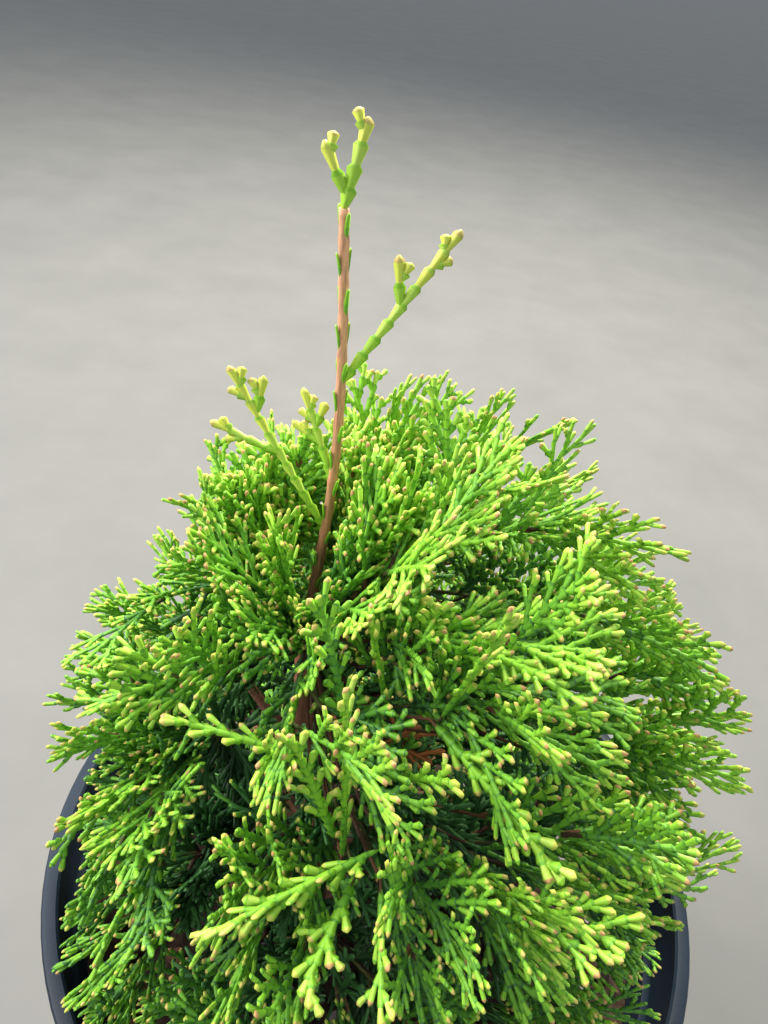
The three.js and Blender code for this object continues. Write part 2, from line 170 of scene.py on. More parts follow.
# %% Finishes that vary
class Finish:
    """A material under construction, with short calls for the few nodes that this plant needs."""

    def __init__(self, name, colour, roughness, specular=0.5):
        self.material = plain_finish(name, colour, roughness, specular)
        self.tree = self.material.node_tree
        self.shader = self.tree.nodes["Principled BSDF"]
        self.place = self.tree.nodes.new("ShaderNodeTexCoord").outputs["Object"]

    def stretched(self, scale):
        mapping = self.tree.nodes.new("ShaderNodeMapping")
        mapping.inputs["Scale"].default_value = scale
        self.tree.links.new(self.place, mapping.inputs["Vector"])
        return mapping.outputs["Vector"]

    def noise(self, scale, detail=6.0, rough=0.6, at=None):
        node = self.tree.nodes.new("ShaderNodeTexNoise")
        node.inputs["Scale"].default_value = scale
        node.inputs["Detail"].default_value = detail
        node.inputs["Roughness"].default_value = rough
        self.tree.links.new(at or self.place, node.inputs["Vector"])
        return node.outputs["Fac"]

    def ramp(self, value, stops):
        node = self.tree.nodes.new("ShaderNodeValToRGB")
        marks = node.color_ramp.elements
        while len(marks) < len(stops):
            marks.new(0.5)
        for mark, (share, colour) in zip(marks, stops):
            mark.position = share
            mark.color = (*colour, 1)
        self.tree.links.new(value, node.inputs["Fac"])
        return node.outputs["Color"]

    def spread(self, value, low, high, to_low, to_high):
        node = self.tree.nodes.new("ShaderNodeMapRange")
        for socket, number in zip(("From Min", "From Max", "To Min", "To Max"), (low, high, to_low, to_high)):
            node.inputs[socket].default_value = number
        self.tree.links.new(value, node.inputs["Value"])
        return node.outputs["Result"]

    def mixed(self, share, first, second):
        node = self.tree.nodes.new("ShaderNodeMix")
        node.data_type = "RGBA"
        sockets = (node.inputs["Factor"], node.inputs[6], node.inputs[7])
        for socket, source in zip(sockets, (share, first, second)):
            if isinstance(source, (int, float)):
                socket.default_value = source
            elif isinstance(source, tuple):
                socket.default_value = (*source, 1)
            else:
                self.tree.links.new(source, socket)
        return node.outputs[2]

    def height_of(self, low, high):
        split = self.tree.nodes.new("ShaderNodeSeparateXYZ")
        self.tree.links.new(self.place, split.inputs["Vector"])
        return self.spread(split.outputs["Z"], low, high, 0, 1)

    def colour(self, source):
        self.tree.links.new(source, self.shader.inputs["Base Color"])

    def roughness(self, source):
        self.tree.links.new(source, self.shader.inputs["Roughness"])

    def relief(self, source, depth, strength=1.0):
        bump = self.tree.nodes.new("ShaderNodeBump")
        bump.inputs["Distance"].default_value = depth
        bump.inputs["Strength"].default_value = strength
        self.tree.links.new(source, bump.inputs["Height"])
        self.tree.links.new(bump.outputs["Normal"], self.shader.inputs["Normal"])


print("a finish offers:", [name for name in vars(Finish) if not name.startswith("_")])


# %% [markdown]
# ## Floor and light
# The floor is one pale sheet, and the light is that of a soft studio: a warm lamp high behind the
# plant, which rims the sprays as the low sun did, a wider one on the left, and an even sky. Hard
# lamps would draw thousands of sharp little shadows among the leaves.

# %% Floor and light
FLOOR_SIZE = 40
FLOOR_TINTS = [(0.3, (0.12, 0.12, 0.117)), (0.7, (0.14, 0.139, 0.134))]
SKY_TINT, SKY_STRENGTH = (0.86, 0.93, 1.0, 1), 0.94
CROWN_HEART = (0, 0, 0.25)
let_go()
bpy.ops.mesh.primitive_plane_add(size=FLOOR_SIZE)
floor = bpy.context.object
floor.name = "studio_floor"
floor_paint = Finish("pale_floor", (0.13, 0.13, 0.127), 0.85)
floor_paint.colour(floor_paint.ramp(floor_paint.noise(9), FLOOR_TINTS))
floor.data.materials.append(floor_paint.material)

sky = bpy.data.worlds.new("even_sky")
sky.use_nodes = True
sky.node_tree.nodes["Background"].inputs["Color"].default_value = SKY_TINT
sky.node_tree.nodes["Background"].inputs["Strength"].default_value = SKY_STRENGTH
bpy.context.scene.world = sky
bpy.context.scene.view_settings.view_transform = "Standard"


def soft_lamp(name, at, size, power, colour):
    """A square lamp that looks at the heart of the crown."""
    lamp = bpy.data.lights.new(name, "AREA")
    lamp.size = size
    lamp.energy = power
    lamp.color = colour
    holder = bpy.data.objects.new(name, lamp)
    bpy.context.collection.objects.link(holder)
    turn = (Vector(CROWN_HEART) - Vector(at)).to_track_quat("-Z", "Y").to_matrix().to_4x4()
    holder.matrix_world = Matrix.Translation(at) @ turn


soft_lamp("window_back", (0.2, 1.2, 1.7), 0.6, 92, (1.0, 0.95, 0.82))
soft_lamp("window_left", (-1.15, 0.0, 1.2), 1.0, 42, (1.0, 0.98, 0.95))
print("lamps:", len(bpy.data.lights))

# %% [markdown]
# ## The pot
# A nursery pot is blown or moulded from thin black polypropylene: a tapered wall, a wider collar
# that lets pots stack, and a rolled lip. It could be turned from a drawn profile, but pulling it up
# ring by ring from a circle follows the wall as it really runs, and each ring stays easy to move.

# %% Pull up the pot
POT_FOOT, POT_RIM, POT_HEIGHT, POT_WALL = 84.0, 115.0, 190.0, 2.2
COLLAR_FOOT, SHOULDER, COLLAR = 164.0, 108.3, 111.8
ROUND_SIDES = 96
POT_RINGS = [
    (POT_FOOT - 1.5, 0.0), (POT_FOOT, 1.2), (84.9, 6), (96.1, 82), (SHOULDER - 0.2, 163.2),
    (SHOULDER + 0.3, 164.1), (COLLAR - 1.1, 165.3), (COLLAR - 0.8, 166.6), (COLLAR - 0.2, 182.4),
    (COLLAR + 0.4, 183.6), (POT_RIM - 0.7, 184.3), (POT_RIM, 185.4), (POT_RIM, 188.4),
    (POT_RIM - 0.6, 189.6), (POT_RIM - 1.6, POT_HEIGHT), (COLLAR - 1.4, POT_HEIGHT),
    (COLLAR - POT_WALL, 189.2), (COLLAR - 3.0, 168.0), (COLLAR - 3.6, 167.0), (SHOULDER - 1.9, 166.0),
    (SHOULDER - 2.5, 164.6), (98.4, 100), (POT_FOOT - 1.8, 4.2), (POT_FOOT - 4, 3.0),
]


def pulled_up(points, radii, sides):
    """A ring drawn at the first point, then extruded to each next one and scaled to its radius."""
    let_go()
    foot = {"radius": radii[0] * MM, "location": points[0] * MM}
    bpy.ops.mesh.primitive_circle_add(vertices=sides, fill_type="NGON", **foot)
    bpy.ops.object.transform_apply(location=True)
    piece = bpy.context.object
    bpy.ops.object.mode_set(mode="EDIT")
    for before, after, last, radius in zip(points, points[1:], radii, radii[1:]):
        bpy.ops.mesh.extrude_region_move(TRANSFORM_OT_translate={"value": (after - before) * MM})
        bpy.ops.transform.resize(value=(radius / last, radius / last, 1), center_override=after * MM)
    bpy.ops.mesh.select_all(action="SELECT")
    bpy.ops.mesh.normals_make_consistent(inside=False)
    bpy.ops.object.mode_set(mode="OBJECT")
    return piece


def turned(rings, sides):
    """A round piece from its rings, each a radius and a height."""
    return pulled_up([Vector((0, 0, height)) for _, height in rings], [radius for radius, _ in rings], sides)


pot = turned(POT_RINGS, ROUND_SIDES)
print("pot rings:", len(POT_RINGS), "vertices:", len(pot.data.vertices))

# %% [markdown]
# Eight drain holes go through the floor, near its edge. One cutter is modelled and copied round, and
# a Boolean takes all of them out at once.

# %% Drain holes
DRAIN_HOLES, DRAIN_RADIUS, DRAIN_REACH, DRILL_LENGTH = 8, 6.0, 70.0, 12.0
SHARP_EDGE = math.radians(32)
cutters = []
for i in range(DRAIN_HOLES):
    angle = TURN * i / DRAIN_HOLES
    let_go()
    at = (DRAIN_REACH * MM * math.cos(angle), DRAIN_REACH * MM * math.sin(angle), 0)
    bpy.ops.mesh.primitive_cylinder_add(
        vertices=24, radius=DRAIN_RADIUS * MM, depth=DRILL_LENGTH * MM, location=at
    )
    bpy.ops.object.transform_apply(location=True)
    cutters.append(bpy.context.object)
drill = joined(cutters)
holes = pot.modifiers.new("drain_holes", "BOOLEAN")
holes.operation = "DIFFERENCE"
holes.object = drill
apply_all(pot)
bpy.data.objects.remove(drill)
work_on(pot)
bpy.ops.object.shade_smooth_by_angle(angle=SHARP_EDGE)
print("drain holes:", DRAIN_HOLES)

# %% [markdown]
# Black plastic is never one colour: it is a very dark blue grey that mirrors a little of the sky,
# with dust and dried splashes that catch on the wall. Two noises do this: a coarse one for the
# smudges, which are also smoother or rougher, and a fine one for the dust that lies over them.

# %% Pot plastic
SMUDGE_TINTS = [(0.3, (0.004, 0.009, 0.016)), (0.75, (0.01, 0.02, 0.036))]
DUST_TINT = (0.028, 0.032, 0.036)
plastic = Finish("pot_plastic", (0.01, 0.015, 0.024), 0.46, 0.2)
dust = plastic.noise(38, detail=8, rough=0.7)
smudges = plastic.noise(7, detail=4, rough=0.5)
dusty = plastic.spread(dust, 0.5, 0.85, 0, 0.5)
plastic.colour(plastic.mixed(dusty, plastic.ramp(smudges, SMUDGE_TINTS), DUST_TINT))
plastic.roughness(plastic.spread(smudges, 0.3, 0.7, 0.42, 0.58))
plastic.relief(plastic.noise(900, detail=3), 0.00008, 0.6)
finished(pot, "pot_shell", [plastic.material], ["pot"])

# %% [markdown]
# ## The soil
# The mix is bark and peat, dark and crumbly, a little lower at the wall where it has settled. A
# disc with many rings is raised by two noise textures: a coarse one for the lumps, a fine one for
# crumbs. Its rim stays level and just clear of the pot, and its body reaches down to the floor.

# %% Soil bed
SOIL_TOP, SOIL_EDGE = 158.0, 153.0
SOIL_FOOT, SOIL_FOOT_RADIUS, SOIL_EDGE_RADIUS, SOIL_FLAT = 3.4, 81.8, 104.6, 46.0
SOIL_INSETS, SOIL_INSET, LEVEL_BAND = 34, 3.0, 4.0
WELL_ABOVE_FOOT = 0.1


def soil_height(reach):
    """The level of the mix at one distance from the middle: flat, and then down to the wall."""
    slope = clamp((SOIL_EDGE_RADIUS - reach) / (SOIL_EDGE_RADIUS - SOIL_FLAT))
    return SOIL_EDGE + (SOIL_TOP - SOIL_EDGE) * slope


soil = turned([(SOIL_FOOT_RADIUS, SOIL_FOOT), (SOIL_EDGE_RADIUS, SOIL_EDGE)], ROUND_SIDES)
work_on(soil)
bpy.ops.object.mode_set(mode="EDIT")
pick_faces(soil, lambda face: face.normal.z > 0.9 and face.calc_center_median().z > WELL_ABOVE_FOOT)
for _ in range(SOIL_INSETS):
    bpy.ops.mesh.inset(thickness=SOIL_INSET * MM)
bpy.ops.object.mode_set(mode="OBJECT")
open_surface = soil.vertex_groups.new(name="open_surface")
for corner in soil.data.vertices:
    reach = math.hypot(corner.co.x, corner.co.y) / MM
    if corner.co.z > WELL_ABOVE_FOOT:
        corner.co.z = soil_height(reach) * MM
        open_surface.add([corner.index], min((SOIL_EDGE_RADIUS - reach) / LEVEL_BAND, 1), "REPLACE")
print("soil corners:", len(soil.data.vertices))

# %% [markdown]
# The lumps and crumbs are displaced for real, because a bump in the material would leave the edge
# of the bed smooth. The faces are split twice first, so that the smallest crumbs have room.

# %% Lumps and crumbs
LUMP_SIZE, LUMP_DEPTH, CRUMB_SIZE, CRUMB_DEPTH = 0.011, 0.0075, 0.0028, 0.0026
SOIL_TINTS = [(0.32, (0.008, 0.005, 0.004)), (0.55, (0.036, 0.022, 0.015)), (0.8, (0.12, 0.075, 0.05))]


def noise_relief(piece, name, size, depth, group=None, middle=0.5, stretch=None):
    """A Displace modifier that reads a cloud texture; stretch is an empty that draws it out."""
    clouds = bpy.data.textures.new(name, "CLOUDS")
    clouds.noise_scale = size
    clouds.noise_depth = 3
    modifier = piece.modifiers.new(name, "DISPLACE")
    modifier.texture = clouds
    modifier.strength = depth
    modifier.mid_level = middle
    if group:
        modifier.vertex_group = group
    if stretch:
        modifier.texture_coords = "OBJECT"
        modifier.texture_coords_object = stretch


finer = soil.modifiers.new("finer", "SUBSURF")
finer.subdivision_type = "SIMPLE"
finer.levels = finer.render_levels = 2
noise_relief(soil, "lumps", LUMP_SIZE, LUMP_DEPTH, "open_surface", 0.62)
noise_relief(soil, "crumbs", CRUMB_SIZE, CRUMB_DEPTH, "open_surface")
apply_all(soil)
work_on(soil)
bpy.ops.object.shade_smooth()

earth = Finish("peat_and_bark", (0.03, 0.02, 0.014), 0.95, 0.2)
grain = earth.noise(260, detail=8, rough=0.75)
earth.colour(earth.ramp(grain, SOIL_TINTS))
earth.relief(grain, 0.0006, 0.9)
finished(soil, "soil_bed", [earth.material], ["soil"])

# %% [markdown]
# Chips of bark lie all over the mix, some weathered to a lilac grey. Three chips are modelled, each
# from a flat block with a few slanting cuts and worn edges. Their corners and faces are kept as
# arrays and the three blocks taken away again, as only copies of them are wanted.

# %% Three chips of bark
def chip_shape(size, cuts):
    """Corners and faces of one chip, from a block's size and the planes that cut it."""
    let_go()
    bpy.ops.mesh.primitive_cube_add(size=1)
    chip = bpy.context.object
    bpy.ops.object.mode_set(mode="EDIT")
    bpy.ops.mesh.select_all(action="SELECT")
    bpy.ops.transform.resize(value=size)
    for corner, facing in cuts:
        bpy.ops.mesh.select_all(action="SELECT")
        bpy.ops.mesh.bisect(plane_co=corner, plane_no=facing, use_fill=True, clear_outer=True)
    bpy.ops.mesh.select_all(action="SELECT")
    bpy.ops.mesh.bevel(offset=0.03, segments=1, affect="EDGES")
    bpy.ops.mesh.select_all(action="SELECT")
    bpy.ops.mesh.vertices_smooth(factor=0.3)
    bpy.ops.mesh.quads_convert_to_tris()
    bpy.ops.object.mode_set(mode="OBJECT")
    points = np.array([corner.co[:] for corner in chip.data.vertices])
    faces = np.array([face.vertices[:] for face in chip.data.polygons])
    bpy.data.objects.remove(chip)
    return points, faces


CHIP_SHAPES = [
    chip_shape((1, 0.6, 0.24), [((0.36, 0.14, 0), (1, 0.6, 0.1)), ((-0.4, -0.1, 0), (-1, -0.5, 0.2))]),
    chip_shape((1, 0.34, 0.2), [((0.4, 0, 0), (1, -0.5, 0.3)), ((-0.44, 0.1, 0), (-1, 0.9, 0))]),
    chip_shape(
        (0.8, 0.7, 0.3),
        [((0.2, 0.25, 0), (1, 1, 0.2)), ((-0.3, 0.2, 0), (-1, 0.6, -0.2)), ((0, -0.3, 0), (0.3, -1, 0.3))],
    ),
]
print("corners of each chip:", [len(points) for points, faces in CHIP_SHAPES])

# %% [markdown]
# The chips on the bed are copies of those three, turned and scaled and joined into one mesh. They
# lie a little in or on the mix, evenly over the bed. The colours are plain and dealt out chip by
# chip, because a pattern would not survive on so many small things.

# %% Bark chips
CHIP_TINTS = [
    plain_finish("chip_umber", (0.06, 0.034, 0.022), 0.9, 0.2),
    plain_finish("chip_dark", (0.022, 0.015, 0.012), 0.9, 0.2),
    plain_finish("chip_red", (0.13, 0.062, 0.035), 0.88, 0.2),
    plain_finish("chip_lilac_grey", (0.2, 0.17, 0.18), 0.85, 0.25),
    plain_finish("chip_straw", (0.3, 0.2, 0.11), 0.85, 0.25),
]
CHIP_ODDS = [0.34, 0.3, 0.18, 0.14, 0.04]
CHIP_COUNT = 620


def mesh_from_arrays(name, points, faces, tints=None, smooth=False):
    """A mesh made at once from arrays of points and of faces that all have the same number of corners."""
    mesh = bpy.data.meshes.new(name)
    sides = faces.shape[1]
    mesh.vertices.add(len(points))
    mesh.vertices.foreach_set("co", np.ascontiguousarray(points, np.float32).ravel())
    mesh.loops.add(faces.size)
    mesh.loops.foreach_set("vertex_index", np.ascontiguousarray(faces, np.int32).ravel())
    mesh.polygons.add(len(faces))
    mesh.polygons.foreach_set("loop_start", np.arange(0, faces.size, sides, dtype=np.int32))
    mesh.update(calc_edges=True)
    mesh.polygons.foreach_set("use_smooth", np.full(len(faces), smooth))
    if tints is not None:
        mesh.polygons.foreach_set("material_index", np.ascontiguousarray(tints, np.int32))
    piece = bpy.data.objects.new(name, mesh)
    bpy.context.collection.objects.link(piece)
    return piece


CHIP_SIZES, CHIP_SIZE_ODDS, CHIP_SIZE_SPREAD = [4, 6, 9, 13], [0.35, 0.33, 0.22, 0.1], (0.8, 1.25)
CHIP_FIELD, CHIP_FIELD_LEAST, CHIP_WALL = 101, 0.012, 103.5
CHIP_TILT, CHIP_LEAN, CHIP_LIFT = 0.3, 0.25, (-0.6, 1.6)
draws = np.random.default_rng(7)
chip_points, chip_faces, chip_tints, met = [], [], [], 0
for _ in range(CHIP_COUNT):
    points, faces = CHIP_SHAPES[draws.integers(len(CHIP_SHAPES))]
    size = draws.choice(CHIP_SIZES, p=CHIP_SIZE_ODDS) * draws.uniform(*CHIP_SIZE_SPREAD)
    reach = CHIP_FIELD * math.sqrt(draws.uniform(CHIP_FIELD_LEAST, 1))
    angle = draws.uniform(0, TURN)
    lies = soil_height(reach) + draws.uniform(*CHIP_LIFT)
    reach = min(reach, CHIP_WALL - 0.55 * size)
    turn = Matrix.Rotation(draws.uniform(0, 6.28), 3, "Z")
    turn = turn @ Matrix.Rotation(draws.normal(0, CHIP_TILT), 3, "X")
    turn = turn @ Matrix.Rotation(draws.normal(0, CHIP_LEAN), 3, "Y")
    at = [reach * math.cos(angle), reach * math.sin(angle), lies]
    chip_points.append((points @ np.array(turn).T * size + at) * MM)
    chip_faces.append(faces + met)
    chip_tints += [draws.choice(len(CHIP_TINTS), p=CHIP_ODDS)] * len(faces)
    met += len(points)
chips = mesh_from_arrays("bark_chips", np.vstack(chip_points), np.vstack(chip_faces), chip_tints)
finished(chips, "bark_chips", CHIP_TINTS)

# %% [markdown]
# ## The growth rule
# From here on the plant follows the same rule as its source, with the same names and numbers, in
# millimetres. The trunk leans over in its lower part and its leader bows a little. The crown is an
# egg, and every mass of foliage owns one share of it: a slice of the turn round the trunk, between
# two cones that rise outwards. Nothing of a mass may leave its share by more than a little.

# %% Named sizes of the plant
TRUNK_FOOT, TRUNK_LEAN, LEAN_DONE_AT = (-10.0, -8.0), (-24.0, 2.0), 0.55
LEADER_FOOT, LEADER_BOW, TRUNK_TIP = 300.0, 3.5, 414.0
TRUNK_FOOT_RADIUS, TRUNK_TIP_RADIUS, TAPER_POWER = 5.2, 1.1, 2.4
ROOT_FLARE, FLARE_HEIGHT = 3.6, 12.0
CROWN_MIDDLE, CROWN_RADIUS = Vector((-5, -13, 240)), 92.0
CROWN_TOP, CROWN_FOOT, CROWN_FULLNESS = 135.0, 92.0, 2.6
TIER_SLOPE = 0.5
TIERS = [
    {"name": "low", "masses": 6, "from": 136, "to": 178, "turn": 12, "stem_at": 24, "root_at": 180,
     "rise": 14, "grid": (2, 3), "fine": (3, 5), "inner": 8, "heart": 4, "on_stem": 5, "per_piece": 3},
    {"name": "middle", "masses": 6, "from": 178, "to": 232, "turn": 42, "stem_at": 24, "root_at": 213,
     "rise": 30, "grid": (2, 4), "fine": (4, 6), "inner": 12, "heart": 6, "on_stem": 6, "per_piece": 3},
    {"name": "upper", "masses": 5, "from": 232, "to": 286, "turn": 8, "stem_at": 20, "root_at": 262,
     "rise": 46, "grid": (2, 5), "fine": (4, 7), "inner": 18, "heart": 11, "on_stem": 9, "per_piece": 2},
    {"name": "top", "masses": 3, "from": 286, "to": 372, "turn": 40, "stem_at": 10, "root_at": 306,
     "rise": 64, "grid": (3, 3), "fine": (6, 6), "inner": 22, "heart": 22, "on_stem": 12, "per_piece": 1},
]
STAGGER, BARE_CORE, CLEARANCE = 3.0, 7.0, 1.1
OPEN_GAP, FINE_OPEN_GAP, OPEN_SLOPE = (296.0, 11.0), (310.0, 4.5), 1.05
BOUGH_RADIUS, BOUGH_TO_TRUNK, BOUGH_TIP_SHARE, BOUGH_RISE = 1.9, 0.78, 0.85, 38.0
STEM_SHARE, KNEE_SHARE, FIRST_TWIG_AT, JITTER = 0.36, 0.4, 0.3, 0.4
SPRAY_LEAST, SPRAY_MOST, SPRAY_SHARE = 14.0, 42.0, 0.68
SPRAY_ROLL, SPRAY_DROOP = 34.0, 0.1
LEADER_SPRAYS = [
    {"name": "tip", "height": 414, "azimuth": 10, "rise": 80, "length": 16,
     "prongs": [(0.12, 1, 0.66)]},
    {"name": "right", "height": 378, "azimuth": 6, "rise": 61, "length": 40,
     "prongs": [(0.52, 1, 0.27)]},
    {"name": "left", "height": 337, "azimuth": 184, "rise": 60, "length": 48,
     "prongs": [(0.5, -1, 0.36), (0.74, 1, 0.2)]},
    {"name": "inner", "height": 352, "azimuth": 168, "rise": 68, "length": 24,
     "prongs": [(0.4, -1, 0.36), (0.6, 1, 0.3)]},
]
PRONG_ANGLE, NEAR_LEADER_SPRAY = 38.0, 5.0
print("masses:", sum(tier["masses"] for tier in TIERS), "leader sprays:", len(LEADER_SPRAYS))

# %% [markdown]
# A plant is uneven, and a lesson has to come out the same each time. So chance comes from one small
# rule with a seed for each mass, the same as the source's. A heading turns two angles, round and
# up, into a direction.

# %% Draws and headings
def seeded_draws(seed):
    """Even, repeatable draws between 0 and 1."""
    state = seed

    def draw():
        nonlocal state
        state = state * 16807 % 2147483647
        return state / 2147483647

    return draw


def heading(azimuth, rise):
    azimuth, rise = math.radians(azimuth), math.radians(rise)
    return Vector((math.cos(rise) * math.cos(azimuth), math.cos(rise) * math.sin(azimuth), math.sin(rise)))


sample_draw = seeded_draws(1)
print("two draws of seed 1:", round(sample_draw(), 5), round(sample_draw(), 5))

# %% [markdown]
# The trunk is a line with a radius at every height. The crown's egg is a number for every place:
# under 1 inside it, 1 on it and more outside, so that one comparison says where a place lies.

# %% Trunk line and crown egg
def trunk_point(height):
    share = (height - SOIL_TOP) / (TRUNK_TIP - SOIL_TOP)
    leaning = math.sin(min(max(share, 0) / LEAN_DONE_AT, 1) * math.pi / 2)
    upper = clamp((height - LEADER_FOOT) / (TRUNK_TIP - LEADER_FOOT))
    x = TRUNK_FOOT[0] + TRUNK_LEAN[0] * leaning + LEADER_BOW * math.sin(math.pi * upper)
    return Vector((x, TRUNK_FOOT[1] + TRUNK_LEAN[1] * leaning, height))


def trunk_radius(height):
    share = clamp((height - SOIL_TOP) / (TRUNK_TIP - SOIL_TOP))
    taper = TRUNK_TIP_RADIUS + (TRUNK_FOOT_RADIUS - TRUNK_TIP_RADIUS) * (1 - share) ** TAPER_POWER
    return taper + ROOT_FLARE * max(0, 1 - (height - SOIL_TOP) / FLARE_HEIGHT) ** 2


def crown_share(point):
    """Under 1 inside the crown's egg, 1 on it, more outside."""
    offset = point - CROWN_MIDDLE
    out = math.hypot(offset.x, offset.y) / CROWN_RADIUS
    if offset.z > 0:
        return math.hypot(out, offset.z / CROWN_TOP)
    return (out**CROWN_FULLNESS + (-offset.z / CROWN_FOOT) ** CROWN_FULLNESS) ** (1 / CROWN_FULLNESS)


def reach_from(point, direction):
    reach = 0
    while crown_share(point + direction * reach) < 1:
        reach += 1
    return reach


print("trunk top:", tuple(round(x, 1) for x in trunk_point(TRUNK_TIP)))

# %% [markdown]
# Three things stay free of leaves: the leader's own small sprays, the gap at the front through
# which the trunk shows, and the pot's wall. Each gets a test that says whether a place is clear.

# %% What stays free
def leader_prongs(spray):
    """The straight pieces of one of the leader's sprays: each from and to."""
    root = trunk_point(spray["height"])
    along = heading(spray["azimuth"], spray["rise"])
    aside = (UP - along * along.z).normalized()
    angle = math.radians(PRONG_ANGLE)
    tip = root + along * spray["length"]
    prongs = [(root, tip)]
    for share, side, size in spray["prongs"]:
        start = root.lerp(tip, share)
        heads = along * math.cos(angle) + aside * side * math.sin(angle)
        prongs.append((start, start + heads * size * spray["length"]))
    return prongs


LEADER_LINES = [line for spray in LEADER_SPRAYS for line in leader_prongs(spray)]


def clear_of_leader_sprays(point):
    for start, end in LEADER_LINES:
        way = end - start
        share = clamp((point - start).dot(way) / way.length_squared)
        if (start + way * share - point).length <= NEAR_LEADER_SPRAY:
            return False
    return True


def clear_of_open_front(point, foot, half_width):
    middle = trunk_point(point.z)
    before = middle.y - point.y
    if before < 0 or abs(point.x - middle.x) > half_width:
        return True
    return point.z < foot + OPEN_SLOPE * before


def pot_radius_at(height):
    return lerp(POT_FOOT, SHOULDER, height / COLLAR_FOOT)


def clear_of_pot(point):
    if point.z < SOIL_TOP + 2 * CLEARANCE:
        return False
    inside = pot_radius_at(SOIL_TOP) - POT_WALL - 3 * CLEARANCE
    return point.z > POT_HEIGHT + 3 * CLEARANCE or math.hypot(point.x, point.y) < inside


print("lines of the leader's sprays:", len(LEADER_LINES))

# %% [markdown]
# One test says whether a place lies in a mass's own share of the crown. Two functions find places
# in it: one on the crown's outer face, and one on the way there from the bare core at the trunk.

# %% Shares of the crown
INSIDE_FACE, LOOK_FROM, INNER_FROM = 0.98, 1.6, 3.0


def in_share(tier, middle, point, spare=CLEARANCE):
    """Whether a point lies in one mass's own share of the crown, with some room to spare."""
    core = trunk_point(point.z)
    x, y = point.x - core.x, point.y - core.y
    out = math.hypot(x, y)
    if out < BARE_CORE + CLEARANCE:
        return False
    level = point.z - TIER_SLOPE * out
    if level < tier["from"] + spare or level > tier["to"] - spare:
        return False
    from_middle = (math.atan2(y, x) - math.radians(middle)) % TURN
    turn = min(from_middle, TURN - from_middle)
    if (math.pi / tier["masses"] - turn) * out < spare:
        return False
    gap = OPEN_GAP if spare >= CLEARANCE else FINE_OPEN_GAP
    return clear_of_pot(point) and clear_of_open_front(point, *gap) and clear_of_leader_sprays(point)


def way_out(tier, middle, turn):
    """The level direction to one place of a share; turn runs from 0 to 1 across it."""
    return heading(middle + 360 / tier["masses"] * (turn - 0.5), 0)


def outer_point(tier, middle, turn, level, fullness):
    """Where a mass's outer face lies in one direction; level runs from 0 to 1 up its share."""
    way = way_out(tier, middle, turn)
    foot = lerp(tier["from"], tier["to"], level)
    out = LOOK_FROM * CROWN_RADIUS
    while out > BARE_CORE:
        point = trunk_point(foot + TIER_SLOPE * out) + way * out
        if crown_share(point) < fullness:
            return point
        out -= 1
    return None


def inner_point(tier, middle, turn, level, share):
    """A place on the way from the bare core to the crown's outer face."""
    outer = outer_point(tier, middle, turn, level, INSIDE_FACE)
    if not outer:
        return None
    core = trunk_point(outer.z)
    out = lerp(BARE_CORE + INNER_FROM, math.hypot(outer.x - core.x, outer.y - core.y), share)
    height = lerp(tier["from"], tier["to"], level) + TIER_SLOPE * out
    return trunk_point(height) + way_out(tier, middle, turn) * out


sample_place = outer_point(TIERS[0], TIERS[0]["turn"], 0.5, 0.5, 1.0)
print("middle of the first outer face:", tuple(round(x) for x in sample_place))

# %% [markdown]
# ## Trunk and boughs
# Young thuja bark is thin and red brown and comes away in long strips, and up on this year's leader
# it is still smooth and salmon pink. The trunk is drawn up ring by ring, each ring moved along the
# lean and scaled to the taper. The strips are a cloud texture stretched along the limb by an empty,
# and a vertex group lets them fade out towards the young top.

# %% Trunk
TRUNK_SIDES, TRUNK_STEP, TRUNK_START, BARK_SKIN = 28, 1.6, 0.35, 0.1
NODE_SWELL, NODE_PITCH, NODE_POWER = 0.14, 8, 6
OLD_BARK_AT_FOOT, OLD_BARK_SPAN, OLD_BARK_LEAST = 1.15, 140, 0.06
strips = bpy.data.objects.new("strip_direction", None)
bpy.context.collection.objects.link(strips)
strips.scale = (1, 1, 9)

trunk_heights = [SOIL_TOP + TRUNK_START]
while trunk_heights[-1] < TRUNK_TIP - TRUNK_STEP:
    trunk_heights.append(trunk_heights[-1] + TRUNK_STEP)
trunk_heights.append(TRUNK_TIP)
trunk_radii = []
for height in trunk_heights:
    swell = NODE_SWELL * max(0, math.cos(TURN * height / NODE_PITCH)) ** NODE_POWER
    trunk_radii.append(trunk_radius(height) - BARK_SKIN + swell)
trunk = pulled_up([trunk_point(height) for height in trunk_heights], trunk_radii, TRUNK_SIDES)
old_bark = trunk.vertex_groups.new(name="old_bark")
for corner in trunk.data.vertices:
    age_share = OLD_BARK_AT_FOOT - (corner.co.z / MM - SOIL_TOP) / OLD_BARK_SPAN
    old_bark.add([corner.index], clamp(age_share, OLD_BARK_LEAST, 1), "REPLACE")
noise_relief(trunk, "bark_strips", 0.0011, 0.0011, "old_bark", 0.5, strips)
noise_relief(trunk, "bark_flakes", 0.0032, 0.0008, "old_bark", 0.5, strips)
apply_all(trunk)
work_on(trunk)
bpy.ops.object.shade_smooth()
print("trunk rings:", len(trunk_heights))

# %% [markdown]
# Each mass hangs on one bough. The boughs are dealt out as the source does it, so they stand where
# the CAD boughs stand: round the trunk in tiers, a little higher and lower in turn.

# %% Where the boughs stand
SEED_STEP = 7919


